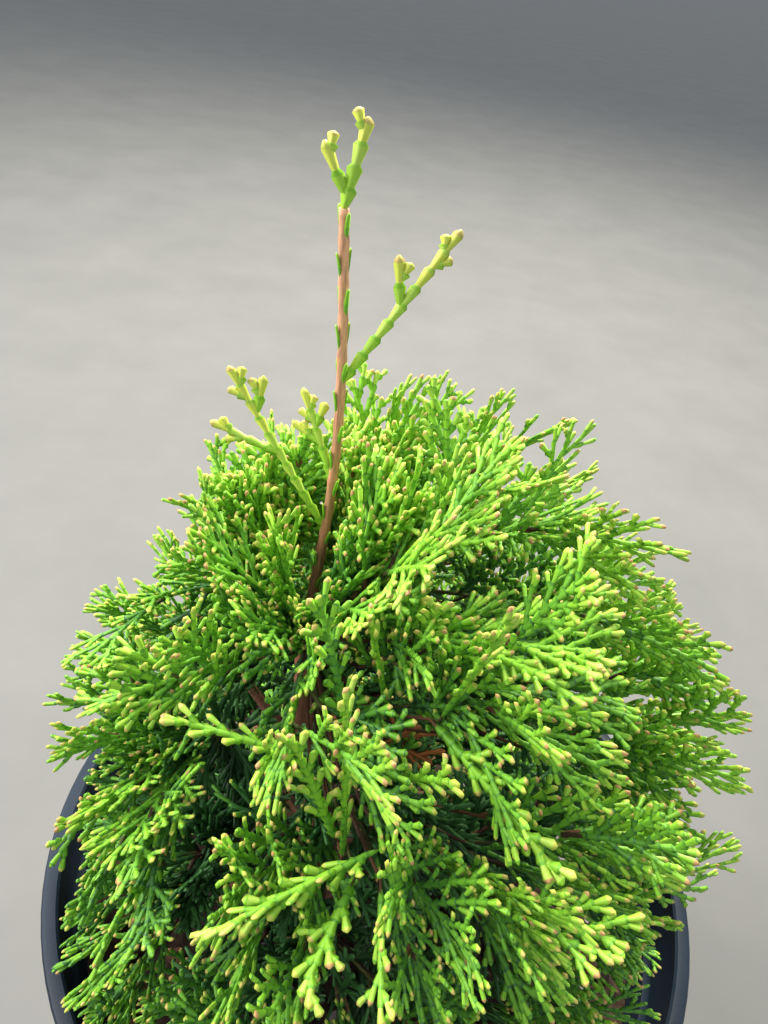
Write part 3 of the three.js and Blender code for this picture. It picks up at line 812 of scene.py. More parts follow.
def mass_of(tier, i, seed):
    """One mass: its names, its middle azimuth, its bough's line and radii, and its seed."""
    count = tier["masses"]
    middle = tier["turn"] + 360 * i / count
    root_height = tier["root_at"] + STAGGER * ((3 * i) % count - (count - 1) / 2)
    root = trunk_point(root_height) + heading(middle, 0) * tier["stem_at"]
    drop = tier["stem_at"] * math.tan(math.radians(BOUGH_RISE))
    crotch = trunk_point(max(root_height - drop, SOIL_TOP + 2.5 * BOUGH_RADIUS))
    radius = min(BOUGH_RADIUS, BOUGH_TO_TRUNK * trunk_radius(crotch.z))
    return {
        "name": f"{tier['name']}_mass_{i + 1}", "bough": f"{tier['name']}_bough_{i + 1}", "tier": tier,
        "middle": middle, "root": root, "crotch": crotch, "along": (root - crotch).normalized(),
        "radius": radius, "tip_radius": BOUGH_TIP_SHARE * radius, "seed": seed,
    }


places = [(tier, i) for tier in TIERS for i in range(tier["masses"])]
masses = [mass_of(tier, i, 1 + SEED_STEP * number) for number, (tier, i) in enumerate(places)]
print("boughs:", len(masses), "thickest:", round(max(mass["radius"] for mass in masses), 2), "mm")

# %% [markdown]
# A bough is pulled up straight, with a collar that swells where it leaves the trunk and a slight
# sway, then displaced, and only then laid along its line. The strips run along every bough that
# way. All boughs are joined into one piece.

# %% Boughs
BOUGH_SIDES, BOUGH_STEPS, BOUGH_OVERLAP, BOUGH_SKIN = 16, 16, 1.5, 0.12
COLLAR_SWELL, COLLAR_LENGTH, BOUGH_SWAY, SWAY_WAVES = 0.45, 3.5, 0.35, 9


def bough_rings(mass):
    """Ring centres and radii of one bough, drawn upright at the origin."""
    length = (mass["root"] - mass["crotch"]).length + BOUGH_OVERLAP
    collar = trunk_radius(mass["crotch"].z)
    points, radii = [], []
    for step in range(BOUGH_STEPS + 1):
        share = step / BOUGH_STEPS
        swell = COLLAR_SWELL * max(0, 1 - max(0, share * length - collar) / COLLAR_LENGTH) ** 2
        sway = BOUGH_SWAY * math.sin(math.pi * share) * math.sin(SWAY_WAVES * share + mass["middle"])
        points.append(Vector((sway, 0, share * length)))
        radii.append(lerp(mass["radius"], mass["tip_radius"], share) - BOUGH_SKIN + swell)
    return points, radii


boughs = []
for mass in masses:
    bough = pulled_up(*bough_rings(mass), BOUGH_SIDES)
    noise_relief(bough, "bough_strips", 0.001, 0.0007, None, 0.5, strips)
    apply_all(bough)
    turn = mass["along"].to_track_quat("Z", "Y").to_matrix().to_4x4()
    bough.matrix_world = Matrix.Translation(mass["crotch"] * MM) @ turn
    work_on(bough)
    bpy.ops.object.transform_apply()
    boughs.append(bough)
boughs = joined(boughs)
bpy.ops.object.shade_smooth()
bpy.data.objects.remove(strips)
print("bough corners:", len(boughs.data.vertices))

# %% [markdown]
# The bark's colour goes with its age, so a ramp over the height turns grey brown into red brown and
# then salmon. A stretched noise darkens the gaps between the strips.

# %% Bark
BARK_AGES = [
    (0.0, (0.13, 0.07, 0.045)), (0.35, (0.24, 0.1, 0.06)), (0.5, (0.44, 0.17, 0.1)),
    (0.68, (0.66, 0.27, 0.15)), (1.0, (0.86, 0.45, 0.25)),
]
WEATHERED, STRIP_GAP = (0.3, 0.2, 0.15), (0.09, 0.04, 0.026)
bark = Finish("thuja_bark", (0.3, 0.12, 0.06), 0.78, 0.3)
fibres = bark.noise(1500, detail=5, rough=0.65, at=bark.stretched((1, 1, 0.08)))
patches = bark.noise(220, detail=4)
age = bark.ramp(bark.height_of(SOIL_TOP * MM, TRUNK_TIP * MM), BARK_AGES)
worn = bark.mixed(bark.spread(patches, 0.45, 0.75, 0, 0.45), age, WEATHERED)
bark.colour(bark.mixed(bark.spread(fibres, 0.35, 0.6, 0.5, 0.0), worn, STRIP_GAP))
bark.relief(fibres, 0.00025, 0.8)
finished(trunk, "trunk_bark", [bark.material], ["trunk"])
finished(boughs, "bough_bark", [bark.material], [mass["bough"] for mass in masses])

# %% [markdown]
# ## Sprays
# A thuja's leaf is a scale two or three millimetres long, pressed flat on its shoot, and the shoots
# branch left and right in one plane, so the eye sees a flat fern-like spray. An image of leaves on
# cards would be light, but it would look flat so near the lens. The scales get plain tints instead:
# nine greens from deep shade to yellow, and gold, tan and rose for the last scale of some shoots.

# %% Tints of the scales
GREENS = [
    ("scale_shadow", (0.013, 0.052, 0.012)),
    ("scale_deep", (0.028, 0.105, 0.020)),
    ("scale_blue", (0.050, 0.160, 0.040)),
    ("scale_mid", (0.086, 0.258, 0.023)),
    ("scale_leaf", (0.145, 0.375, 0.025)),
    ("scale_fresh", (0.220, 0.480, 0.028)),
    ("scale_bright", (0.315, 0.550, 0.045)),
    ("scale_lime", (0.410, 0.590, 0.078)),
    ("scale_yellow", (0.550, 0.610, 0.078)),
]
TIP_TINTS = [
    ("tip_gold", (0.47, 0.51, 0.075)),
    ("tip_tan", (0.50, 0.40, 0.10)),
    ("tip_rose", (0.47, 0.27, 0.10)),
]
DRY_TINT = ("dry_scale", (0.36, 0.11, 0.03))
PALETTE = [plain_finish(name, colour, 0.5, 0.4) for name, colour in GREENS + TIP_TINTS + [DRY_TINT]]
FIRST_TIP, DRY = len(GREENS), len(GREENS) + len(TIP_TINTS)
DRY_TONE, DRY_UNDER = -60.0, -50.0
GOLD_ODDS, GOLD_OR_TAN_ODDS = 0.5, 0.86
print("tints:", len(PALETTE))

# %% [markdown]
# Modelling a scale at a time would cost millions of faces. Instead a shoot is one thin rod whose
# sides swell and pinch at every pair of scales. It is kept as a small record while the plant grows,
# and all are turned into arrays at the end. The record of a twig says where it starts, which way it
# heads and faces, how long its bare part is and how far it reaches, and its end droops a little.

# %% Records of shoots and twigs
SCALE_PITCH = 2.9


def shoot(
    base, along, across, length, half_width, tone, gain, tip, bend=None, plain=False, pitch=SCALE_PITCH
):
    """One leafy rod: tone is its green at the base, gain the change to its end, tip its last scale's tint."""
    return {
        "base": base, "along": along, "across": across, "length": length, "half_width": half_width,
        "tone": tone, "gain": gain, "tip": tip, "bend": bend or Vector((0, 0, 0)), "plain": plain,
        "pitch": pitch,
    }


def twig_record(start, heads, normal, bare, reach):
    return {"from": start, "heads": heads, "normal": normal, "bare": bare, "reach": reach}


def twig_point(twig, s):
    return twig["from"] + twig["heads"] * s - UP * (SPRAY_DROOP * twig["reach"] * (s / twig["reach"]) ** 2)


def tip_tint(odds, draw):
    """The tint of a shoot's last scale, or None where it stays green."""
    if draw() > odds:
        return None
    chance = draw()
    return FIRST_TIP + (0 if chance < GOLD_ODDS else 1 if chance < GOLD_OR_TAN_ODDS else 2)


def shortened(start, heads, length, least, allowed, step=0.85, parts=(1,)):
    """A length cut down in steps until the places at these parts of it are allowed, or it is too short."""
    while length > least and not all(allowed(start + heads * length * part) for part in parts):
        length *= step
    return length


sample_twig = twig_record(Vector((0, 0, 0)), Vector((1, 0, 0)), UP, 10, 40)
print("a level twig of 40 mm droops by", round(-twig_point(sample_twig, 40).z, 1), "mm")

# %% [markdown]
# A spray has an axis and, on alternate sides of it, side shoots that sweep forward. They are longest
# near the middle of the spray. Each one tilts a little out of the plane, or the spray would look
# cut from card.

# %% Axis and side shoots
AXIS_WIDTH, AXIS_DARKER, AXIS_GAIN, AXIS_INTO_BARE, AXIS_EARLIEST = 1.08, 0.9, 1.9, 2, 0.5
SIDE_PITCH, SIDE_ANGLES, SIDE_ANGLE_SPREAD, SIDE_TILT, SIDE_SWEEP = 3.3, (36, 25), 8, 11, 0.12
SIDE_SHARE, SIDE_ARC, SIDE_SIZES = 0.54, (0.25, 0.45), (0.75, 1.15)
SIDE_LEAST, SIDE_SHORTER, NARROWING, NARROWEST = 3.0, 0.8, 0.85, 3.0
SIDE_DARKER, SIDE_BRIGHTENS, SIDE_GAIN = 0.6, 0.9, 1.4


def tilted(direction, normal, most, draw):
    return (direction + normal * math.radians(most) * (2 * draw() - 1)).normalized()


def axis_shoot(twig, across, look, draw):
    start = max(twig["bare"] - AXIS_INTO_BARE, AXIS_EARLIEST)
    base = twig_point(twig, start)
    length = twig["reach"] - start
    ahead = (twig_point(twig, start + 1) - base).normalized()
    drop = twig_point(twig, twig["reach"]) - base - ahead * length
    tip = tip_tint(look["tip_odds"], draw)
    width, tone = look["half_width"] * AXIS_WIDTH, look["tone"] - AXIS_DARKER
    return shoot(base, ahead, across, length, width, tone, AXIS_GAIN, tip, drop, look["plain"])


def side_shoot(twig, across, s, side, look, allowed, draw):
    along, normal = twig["heads"], twig["normal"]
    leafy = twig["reach"] - twig["bare"]
    way_along = (s - twig["bare"]) / leafy
    arc = math.sin(math.pi * (SIDE_ARC[0] + SIDE_ARC[1] * way_along))
    size = SIDE_SHARE * leafy * arc * lerp(*SIDE_SIZES, draw())
    size = min(size, NARROWING * (twig["reach"] - s) + NARROWEST, look["side_most"])
    angle = math.radians(lerp(*SIDE_ANGLES, way_along) + SIDE_ANGLE_SPREAD * (draw() - 0.5))
    out = tilted(along * math.cos(angle) + across * side * math.sin(angle), normal, SIDE_TILT, draw)
    start = twig_point(twig, s)
    size = max(shortened(start, out, size, SIDE_LEAST, allowed, SIDE_SHORTER), SIDE_LEAST)
    tone = look["tone"] - SIDE_DARKER + SIDE_BRIGHTENS * way_along
    aside, forward = normal.cross(out).normalized(), along * (SIDE_SWEEP * size)
    tip = tip_tint(look["tip_odds"], draw)
    return shoot(start, out, aside, size, look["half_width"], tone, SIDE_GAIN, tip, forward, look["plain"])


print("side shoots are about", SIDE_PITCH, "mm apart")

# %% [markdown]
# Stubs sit on the side shoots as those sit on the axis. A spray's look says how broad its shoots
# are, how often a tip has a tint of its own, how long a side shoot may get, and whether plain rods
# will do, as they will deep inside the crown.

# %% Grow one spray
STUB_STEP, STUB_ANGLES, STUB_TILT, STUB_SIZES = 6.0, (22, 36), 14, (3.8, 6.8)
STUB_WIDTH, STUB_BRIGHTENS, STUB_GAIN = 0.94, 0.7, 1.1
FIRST_STUB, LAST_STUB, STUB_NARROWING, STUB_NARROWEST = (0.5, 0.3), 2.2, 0.6, 2.9
FIRST_SIDE, LAST_SIDE = (0.3, 0.5), 2.5
SHOOT_HALF_WIDTH, STEP_SPREAD = 0.96, (0.85, 1.15)
USUAL_LOOK = {"plain": False, "width": 1.0, "tip_odds": 0.6, "side_most": 99.0}


def stub_shoots(carrier, normal, side, look, draw):
    """Short shoots on alternate sides of one side shoot."""
    out, aside, size = carrier["along"], carrier["across"], carrier["length"]
    stubs, t = [], STUB_STEP * (FIRST_STUB[0] + FIRST_STUB[1] * draw())
    while t < size - LAST_STUB:
        length = min(lerp(*STUB_SIZES, draw()), STUB_NARROWING * (size - t) + STUB_NARROWEST)
        angle = math.radians(lerp(*STUB_ANGLES, draw()))
        heads = tilted(out * math.cos(angle) + aside * side * math.sin(angle), normal, STUB_TILT, draw)
        base = carrier["base"] + out * t + carrier["bend"] * (t / size) ** 2
        across = normal.cross(heads).normalized()
        tone = carrier["tone"] + STUB_BRIGHTENS * t / size
        tip = tip_tint(look["tip_odds"], draw)
        width = look["half_width"] * STUB_WIDTH
        stubs.append(shoot(base, heads, across, length, width, tone, STUB_GAIN, tip, None, look["plain"]))
        t += 0.5 * STUB_STEP * lerp(*STEP_SPREAD, draw())
        side = -side
    return stubs


def spray_shoots(twig, tone, allowed, draw, **look):
    """All shoots of one flat spray on the leafy part of a twig."""
    look = {**USUAL_LOOK, **look, "tone": tone}
    look["half_width"] = SHOOT_HALF_WIDTH * look["width"]
    across = twig["normal"].cross(twig["heads"])
    shoots = [axis_shoot(twig, across, look, draw)]
    s = twig["bare"] + SIDE_PITCH * (FIRST_SIDE[0] + FIRST_SIDE[1] * draw())
    side = 1 if draw() < 0.5 else -1
    while s < twig["reach"] - LAST_SIDE:
        one = side_shoot(twig, across, s, side, look, allowed, draw)
        shoots += [one] + stub_shoots(one, twig["normal"], side, look, draw)
        s += SIDE_PITCH * lerp(*STEP_SPREAD, draw())
        side = -side
    return shoots


def anywhere(point):
    return True


print("shoots of a sample spray:", len(spray_shoots(sample_twig, 4, anywhere, seeded_draws(1))))

# %% [markdown]
# ## Growing the masses
# A mass grows on a stem that carries its bough on and bends up. Tests say where its twigs may go:
# in its own share of the crown, well inside or a little past its edge, and within the crown's egg,
# which is a little hollow at some places so that the outline isn't too even.

# %% Stems and room
CROWN_LIMIT = 1.08
HOLLOWS = [
    (203, 267, 0.82), (194, 244, 0.86), (172, 322, 0.9), (146, 366, 0.86), (325, 250, 0.92),
    (8, 344, 0.91), (85, 380, 1.0),
]
HOLLOW_TURN, HOLLOW_RISE = 24.0, 26.0
FINE_SPARE, TWIG_SPARE, HEART_SPARE, HEART_LIMIT = -7.0, -3.0, -6, 0.99


def crown_limit(point):
    """How far out sprays may reach, as a share of the crown's egg."""
    limit = CROWN_LIMIT
    azimuth = math.degrees(math.atan2(point.y - CROWN_MIDDLE.y, point.x - CROWN_MIDDLE.x))
    for middle, height, share in HOLLOWS:
        turn = (azimuth - middle + 180) % 360 - 180
        away = math.hypot(turn / HOLLOW_TURN, (point.z - height) / HOLLOW_RISE)
        limit = min(limit, lerp(share, CROWN_LIMIT, clamp(away * away)))
    return limit


def heart_limit(point):
    """The same limit everywhere, for the sprays at the heart."""
    return HEART_LIMIT


def room_for(mass, spare, limit=None):
    """A test for points: in the mass's share with room to spare and, if a limit is given, within it."""

    def allowed(point):
        if limit and crown_share(point) >= limit(point):
            return False
        return in_share(mass["tier"], mass["middle"], point, spare)

    return allowed


def bent_line(start, end, heads):
    knee = start + heads * KNEE_SHARE * (end - start).length
    return lambda share: start.lerp(knee, share).lerp(knee.lerp(end, share), share)


for mass in masses:
    middle, root = math.radians(mass["middle"]), mass["root"]
    rises = heading(mass["middle"], mass["tier"]["rise"])
    stem_end = root + rises * STEM_SHARE * reach_from(root, rises)
    mass["stem_at"] = bent_line(root, stem_end, mass["along"])
    mass["across"] = Vector((-math.sin(middle), math.cos(middle), 0))
print("longest stem:", round(max((mass["stem_at"](1) - mass["root"]).length for mass in masses), 1), "mm")

# %% [markdown]
# Each mass first repeats the source's own twigs, with the source's own draws, so that its reach is
# the same. Each twig aims at a place on the outer face. A twig that would leave the share of its
# mass is shortened, just as in the source.

# %% The source's twigs
SOURCE_FULLNESS, FIT_PARTS = (0.95, 1.05), (0.4, 0.6, 0.8, 1)


def rolled(across, heads, roll):
    normal = (across - heads * across.dot(heads)).normalized()
    return Matrix.Rotation(math.radians(roll), 3, heads) @ normal


def twig_to(aim, start, across, roll, allowed, leafy_most, leafy_share):
    """The twig on the way to one place, shortened until it fits, or None."""
    heads = (aim - start).normalized()
    reach = shortened(start, heads, (aim - start).length, SPRAY_LEAST, allowed, 0.94, FIT_PARTS)
    if reach <= SPRAY_LEAST:
        return None
    bare = reach - min(leafy_most, leafy_share * reach)
    return twig_record(start, heads, rolled(across, heads, roll), bare, reach)


def grid_cells(grid):
    return [(row, column) for row in range(grid[0]) for column in range(grid[1])]


def place_in(cell, grid, jitter, fullness, draw):
    """Turn, level and fullness of a place near the middle of one cell of a grid over the outer face."""
    turn = (cell[1] + 0.5 + jitter * (draw() - 0.5)) / grid[1]
    level = (cell[0] + 0.5 + jitter * (draw() - 0.5)) / grid[0]
    return turn, level, lerp(*fullness, draw())


def source_twigs(mass, draw):
    tier, allowed = mass["tier"], room_for(mass, CLEARANCE)
    twigs = []
    for cell in grid_cells(tier["grid"]):
        place = place_in(cell, tier["grid"], JITTER, SOURCE_FULLNESS, draw)
        roll = SPRAY_ROLL * (2 * draw() - 1)
        start = mass["stem_at"](lerp(FIRST_TWIG_AT, 1, draw()))
        aim = outer_point(tier, mass["middle"], *place)
        twig = aim and twig_to(aim, start, mass["across"], roll, allowed, SPRAY_MOST, SPRAY_SHARE)
        if twig:
            twigs.append(twig)
    return twigs


print("source twigs of the first mass:", len(source_twigs(masses[0], seeded_draws(masses[0]["seed"]))))

# %% [markdown]
# Then the crown carries on where the CAD model stops. Finer twigs leave those first ones and go to
# the places between them on the outer face, and others stay deeper. More of them close the heart
# of the crown: they are steep, and leave the first part of the bough close to the trunk.

# %% Finer twigs
FINE_LEAFY, FINE_SHARE, FINE_JITTER, FINE_FULLNESS = (26.0, 42.0), 0.82, 0.8, (0.8, 1.11)
FINE_SPREAD, FINE_LATEST, FINE_ROLL = math.radians(40), 0.72, 1.3
INNER_SHARE, INNER_POWER = (0.12, 0.78), 0.6
HEART_OVERLAP, HEART_DEPTHS, HEART_OUT, HEART_START = 1.08, (52, 4), (9, 27), (0.03, 0.4)
HEART_ROLL, HEART_LEAFY_SHARE = 90, 0.85


def start_on(carriers, stem_at, aim):
    """Where a finer twig to a place leaves the nearest carrier, at about the spread angle."""
    best, nearest = stem_at(0.5), math.inf
    for twig in carriers:
        offset = aim - twig["from"]
        ahead = offset.dot(twig["heads"])
        beside = (offset - twig["heads"] * ahead).length
        s = min(ahead - beside / math.tan(FINE_SPREAD), FINE_LATEST * twig["reach"])
        away = (aim - twig_point(twig, s)).length
        if s > 2 and away < nearest:
            best, nearest = twig_point(twig, s), away
    return best


def finer_twigs(mass, carriers, draw):
    tier, middle, allowed = mass["tier"], mass["middle"], room_for(mass, TWIG_SPARE)
    aims = []
    for cell in grid_cells(tier["fine"]):
        place = place_in(cell, tier["fine"], FINE_JITTER, FINE_FULLNESS, draw)
        aims.append(outer_point(tier, middle, *place))
    for _ in range(tier["inner"]):
        aims.append(inner_point(tier, middle, draw(), draw() ** INNER_POWER, lerp(*INNER_SHARE, draw())))
    twigs = []
    for aim in filter(None, aims):
        start = start_on(carriers, mass["stem_at"], aim)
        leafy = lerp(*FINE_LEAFY, draw())
        roll = FINE_ROLL * SPRAY_ROLL * (2 * draw() - 1)
        twigs.append(twig_to(aim, start, mass["across"], roll, allowed, leafy, FINE_SHARE))
    return [twig for twig in twigs if twig]


def heart_twigs(mass, draw):
    tier, allowed = mass["tier"], room_for(mass, HEART_SPARE, heart_limit)
    lowest, highest = (tier["to"] - depth for depth in HEART_DEPTHS)
    twigs = []
    for _ in range(tier["heart"]):
        aside = heading(mass["middle"] + HEART_OVERLAP * 360 / tier["masses"] * (draw() - 0.5), 0)
        aim = trunk_point(lerp(lowest, highest, draw())) + aside * lerp(*HEART_OUT, draw())
        start = mass["stem_at"](lerp(*HEART_START, draw()))
        roll = HEART_ROLL * (2 * draw() - 1)
        leafy = lerp(*FINE_LEAFY, draw())
        twigs.append(twig_to(aim, start, mass["across"], roll, allowed, leafy, HEART_LEAFY_SHARE))
    return [twig for twig in twigs if twig]


print("heart twigs of the last mass:", len(heart_twigs(masses[-1], seeded_draws(1))))

# %% [markdown]
# Small sprays also leave the bare part of every twig and the boughs themselves, so that the crown
# is leafy inside too and no wood shows that a real plant would hide.

# %% Small sprays
STEM_SHARES, STEM_LENGTHS, STEM_LEAST, STEM_BARE = (0.06, 0.94), (20, 34), 10, 2.5
SIDE_SPRAY_STEP, SIDE_SPRAY_LENGTH, SIDE_SPRAY_LEAST, SIDE_SPRAY_BARE = 10.0, (15.0, 25.0), 9, 2.0
SIDE_SPRAY_ANGLES, SIDE_SPRAY_STEPS, SIDE_SPRAY_TILT, SIDE_SPRAY_ROLL = (28, 50), (0.8, 1.3), 0.5, 40
STEM_AHEAD, STEM_ASIDE, STEM_UP, TANGENT_STEP = 0.6, 0.7, 0.45, 0.02


def stem_sprays(mass, allowed, draw):
    """Short sprays all round a bough."""
    found, stem_at, count = [], mass["stem_at"], mass["tier"]["on_stem"]
    for step in range(count):
        share = lerp(*STEM_SHARES, (step + draw()) / count)
        ahead = (stem_at(share + TANGENT_STEP) - stem_at(share - TANGENT_STEP)).normalized()
        beside = rolled(UP.cross(ahead), ahead, 360 * draw())
        heads = (ahead * STEM_AHEAD + beside * STEM_ASIDE + UP * STEM_UP).normalized()
        start = stem_at(share)
        length = shortened(start, heads, lerp(*STEM_LENGTHS, draw()), STEM_LEAST, allowed)
        if length > STEM_LEAST:
            faces = rolled(ahead, heads, 180 * draw())
            found.append(twig_record(start, heads, faces, STEM_BARE, length))
    return found


def side_sprays(twig, allowed, draw):
    """Small sprays on alternate sides of a twig's bare part."""
    found, side = [], 1 if draw() < 0.5 else -1
    s = SIDE_SPRAY_STEP * (0.6 + 0.6 * draw())
    normal, across = twig["normal"], twig["normal"].cross(twig["heads"])
    while s < twig["bare"]:
        angle = math.radians(lerp(*SIDE_SPRAY_ANGLES, draw()))
        heads = twig["heads"] * math.cos(angle) + across * side * math.sin(angle)
        heads = (heads + normal * SIDE_SPRAY_TILT * (draw() - 0.5)).normalized()
        start = twig_point(twig, s)
        length = shortened(start, heads, lerp(*SIDE_SPRAY_LENGTH, draw()), SIDE_SPRAY_LEAST, allowed)
        if length > SIDE_SPRAY_LEAST:
            faces = rolled(normal, heads, SIDE_SPRAY_ROLL * (draw() - 0.5))
            found.append(twig_record(start, heads, faces, SIDE_SPRAY_BARE, length))
        s += SIDE_SPRAY_STEP * lerp(*SIDE_SPRAY_STEPS, draw())
        side = -side
    return found


bare_twig = {**sample_twig, "bare": 30}
print("side sprays of a bare twig:", len(side_sprays(bare_twig, anywhere, seeded_draws(1))))

# %% [markdown]
# Some sprays are plain to see on this plant: a few that reach out at the left and the front, fans
# before the trunk, and three dry ones. They are placed one by one, each with its start, its tip and
# its roll. A group names the mass that it belongs to, where on that bough its twigs begin, and its
# look. Some groups are grown before the other sprays of their mass and some after them.

# %% Sprays with places of their own
LEFT_SPRAYS = [
    ((-64, -29, 286), (-91, -36, 295), 70), ((-62, -24, 292), (-88, -28, 304), 60),
    ((-66, -36, 280), (-87, -42, 286), 80),
]
DRY_SPRAYS = [
    ((-14, -38, 293), (0, -34, 306), 50), ((-9, -34, 297), (4, -40, 300), 10),
    ((-24, -34, 300), (-17, -37, 308), 40),
]
COVER_SPRAYS = [
    ((-15, -26, 311), (-11, -31, 334), 40), ((-9, -37, 318), (-17, -54, 330), 15),
    ((-18, -21, 308), (-23, -40, 322), 70), ((-5, -42, 321), (6, -52, 338), 50),
]
FRONT_SPRAYS = [
    ((-14, -68, 300), (-19, -65, 358), 60), ((-6, -70, 312), (-37, -93, 316), 75),
    ((1, -50, 328), (9, -52, 368), 65), ((-1, -50, 328), (25, -80, 331), 35),
    ((-16, -67, 305), (-28, -67, 343), 15), ((-11, -74, 306), (-18, -97, 308), 20),
    ((-6, -74, 306), (-3, -99, 306), 50), ((-9, -70, 307), (-30, -88, 315), 10),
    ((-8, -56, 314), (4, -70, 340), 30), ((-24, -56, 315), (-54, -61, 333), 40),
    ((-4, -38, 335), (-5, -49, 363), 20), ((-10, -44, 322), (-17, -47, 355), 70),
]
FAN_SPRAYS = [
    ((-9, -35, 317), (-17, -34, 348), 20), ((-9, -35, 318), (-8, -35, 351), 40),
    ((-8, -34, 319), (-4, -35, 350), 10), ((-9, -35, 317), (-20, -35, 334), 30),
    ((-7, -36, 320), (2, -35, 347), 25), ((-8, -35, 321), (-6, -36, 333), 60),
    ((5, -42, 325), (-4, -44, 342), 15), ((5, -42, 325), (-2, -44, 346), 45),
    ((5, -42, 325), (4, -42, 344), 20), ((3, -44, 316), (-2, -48, 327), 35),
    ((3, -44, 316), (0, -47, 329), 10), ((-18, -52, 325), (-27, -49, 361), 30),
]
# Three sprays in the dark gap at the front of the crown get a low tone of 1.4 below: painted shade.
PAINTED_SHADE_SPRAYS = [
    ((-19, -32, 312), (-8, -38, 314), 30), ((-17, -32, 311), (-11, -41, 310), 10),
    ((-10, -36, 314), (-1, -40, 315), 50),
]
BACK_SPRAYS = [
    ((15, 5, 308), (14, 8, 328), 20), ((21, 7, 310), (22, 10, 329), 50), ((29, 9, 313), (26, 12, 332), 10),
    ((10, 9, 309), (9, 11, 328), 40), ((24, -1, 305), (21, 1, 323), 30),
]
REAR_SPRAYS = [
    ((-34, 8, 290), (-36, 40, 308), 20), ((-32, 6, 286), (-28, 36, 300), 50),
    ((-38, 6, 288), (-46, 34, 302), 10), ((-34, 10, 296), (-34, 34, 322), 70),
    ((-36, 4, 284), (-40, 30, 292), 40), ((-33, 12, 300), (-40, 42, 318), 35),
]
FIRST_GROUPS = [
    {"mass": "upper_mass_4", "stem_share": 0.9, "bare": 4.0, "tone": 3.4, "sprays": LEFT_SPRAYS,
     "look": {"side_most": 9.0}},
    {"mass": "top_mass_3", "stem_share": 0.45, "bare": 1.0, "tone": DRY_TONE, "sprays": DRY_SPRAYS,
     "look": {"tip_odds": 0.0, "width": 0.9}},
    {"mass": "top_mass_3", "stem_share": 0.5, "bare": 1.0, "tone": 2.8, "sprays": COVER_SPRAYS,
     "look": {"tip_odds": 0.5}},
    {"mass": "top_mass_3", "stem_share": 0.9, "bare": 4.0, "tone": 5.0, "sprays": FRONT_SPRAYS,
     "look": {"tip_odds": 0.85, "width": 1.15, "side_most": 5.5}},
]
LAST_GROUPS = [
    {"mass": "top_mass_3", "stem_share": 0.4, "bare": 1.5, "tone": 3.5, "sprays": FAN_SPRAYS,
     "look": {"tip_odds": 0.6, "width": 1.08, "side_most": 6.0}},
    # Painted shade: the sprays in the gap get a dark tone.
    {"mass": "top_mass_3", "stem_share": 0.3, "bare": 1.0, "tone": 1.4, "sprays": PAINTED_SHADE_SPRAYS,
     "look": {"tip_odds": 0.1}},
    {"mass": "top_mass_1", "stem_share": 0.7, "bare": 1.5, "tone": 2.4, "sprays": BACK_SPRAYS,
     "look": {"tip_odds": 0.4}},
    {"mass": "top_mass_2", "stem_share": 0.3, "bare": 3.0, "tone": 3.0, "sprays": REAR_SPRAYS,
     "look": {"tip_odds": 0.5}},
]
print("placed sprays:", sum(len(group["sprays"]) for group in FIRST_GROUPS + LAST_GROUPS))

# %% [markdown]
# A placed spray hangs on a thin twig that sags on its way from the bough. All wood thinner than a
# bough is kept in one list of bent lines with radii, to be made into tubes later.

# %% Hang the placed sprays
PLACED_TWIG_RADII, PLACED_TWIG_SAG, PLACED_TWIG_INTO = (0.6, 0.36), 9.0, 4
QUARTERS = (0, 0.25, 0.5, 0.75, 1)
woody = []


def placed_shoots(groups, mass, draw):
    grown = []
    for group in groups:
        if group["mass"] != mass["name"]:
            continue
        stem = mass["stem_at"](group["stem_share"])
        for start, tip, roll in group["sprays"]:
            start, tip = Vector(start), Vector(tip)
            heads = (tip - start).normalized()
            normal = rolled((tip - CROWN_MIDDLE).normalized(), heads, roll)
            sags = [4 * PLACED_TWIG_SAG * share * (1 - share) for share in QUARTERS]
            line = [stem.lerp(start, share) - UP * sag for share, sag in zip(QUARTERS, sags)]
            radii = [lerp(*PLACED_TWIG_RADII, share) for share in QUARTERS] + [PLACED_TWIG_RADII[1]]
            woody.append({"points": line + [start + heads * PLACED_TWIG_INTO], "radii": radii})
            twig = twig_record(start, heads, normal, group["bare"], (tip - start).length)
            grown += spray_shoots(twig, group["tone"], anywhere, draw, **group["look"])
    return grown


print("a placed twig sags by", PLACED_TWIG_SAG, "mm")

# %% [markdown]
# Now everything grows, mass by mass. Each spray's green carries painted light and shade, set by
# where it ends: deep inside the crown it gets painted shade and is dark, outside and on the sunny
# side it gets painted light and is bright. Sprays that stick out of the crown's egg are drawn in,
# and the dark ones inside are plainer and broader, which saves faces.

# %% Grow every mass
# Painted light: sprays that end towards this direction get brighter greens, and those deep inside get painted
# shade.
PAINTED_SUN_DIRECTION = Vector((0.18, 0.45, 0.87))
DEEP, DEEP_TO_FACE, PAINTED_SHADE_TONE, PAINTED_LIGHT_TO_FACE, PAINTED_SUN_GAIN, TONE_SPREAD = 0.62, 0.4, 0.7, 2.7, 1.4, 1.3
SHORTENINGS, SHORTENING = 14, 0.95
PLAIN_UNDER, BROAD_UNDER, BROAD, TIP_ODDS_MOST = 2.0, 1.6, 1.15, 0.7
TWIG_SHARES, TWIG_RADII, TWIG_INTO = (0, 0.33, 0.67, 1), [0.62, 0.55, 0.48, 0.36], 1.5
STEM_TIP_RADIUS = 0.75


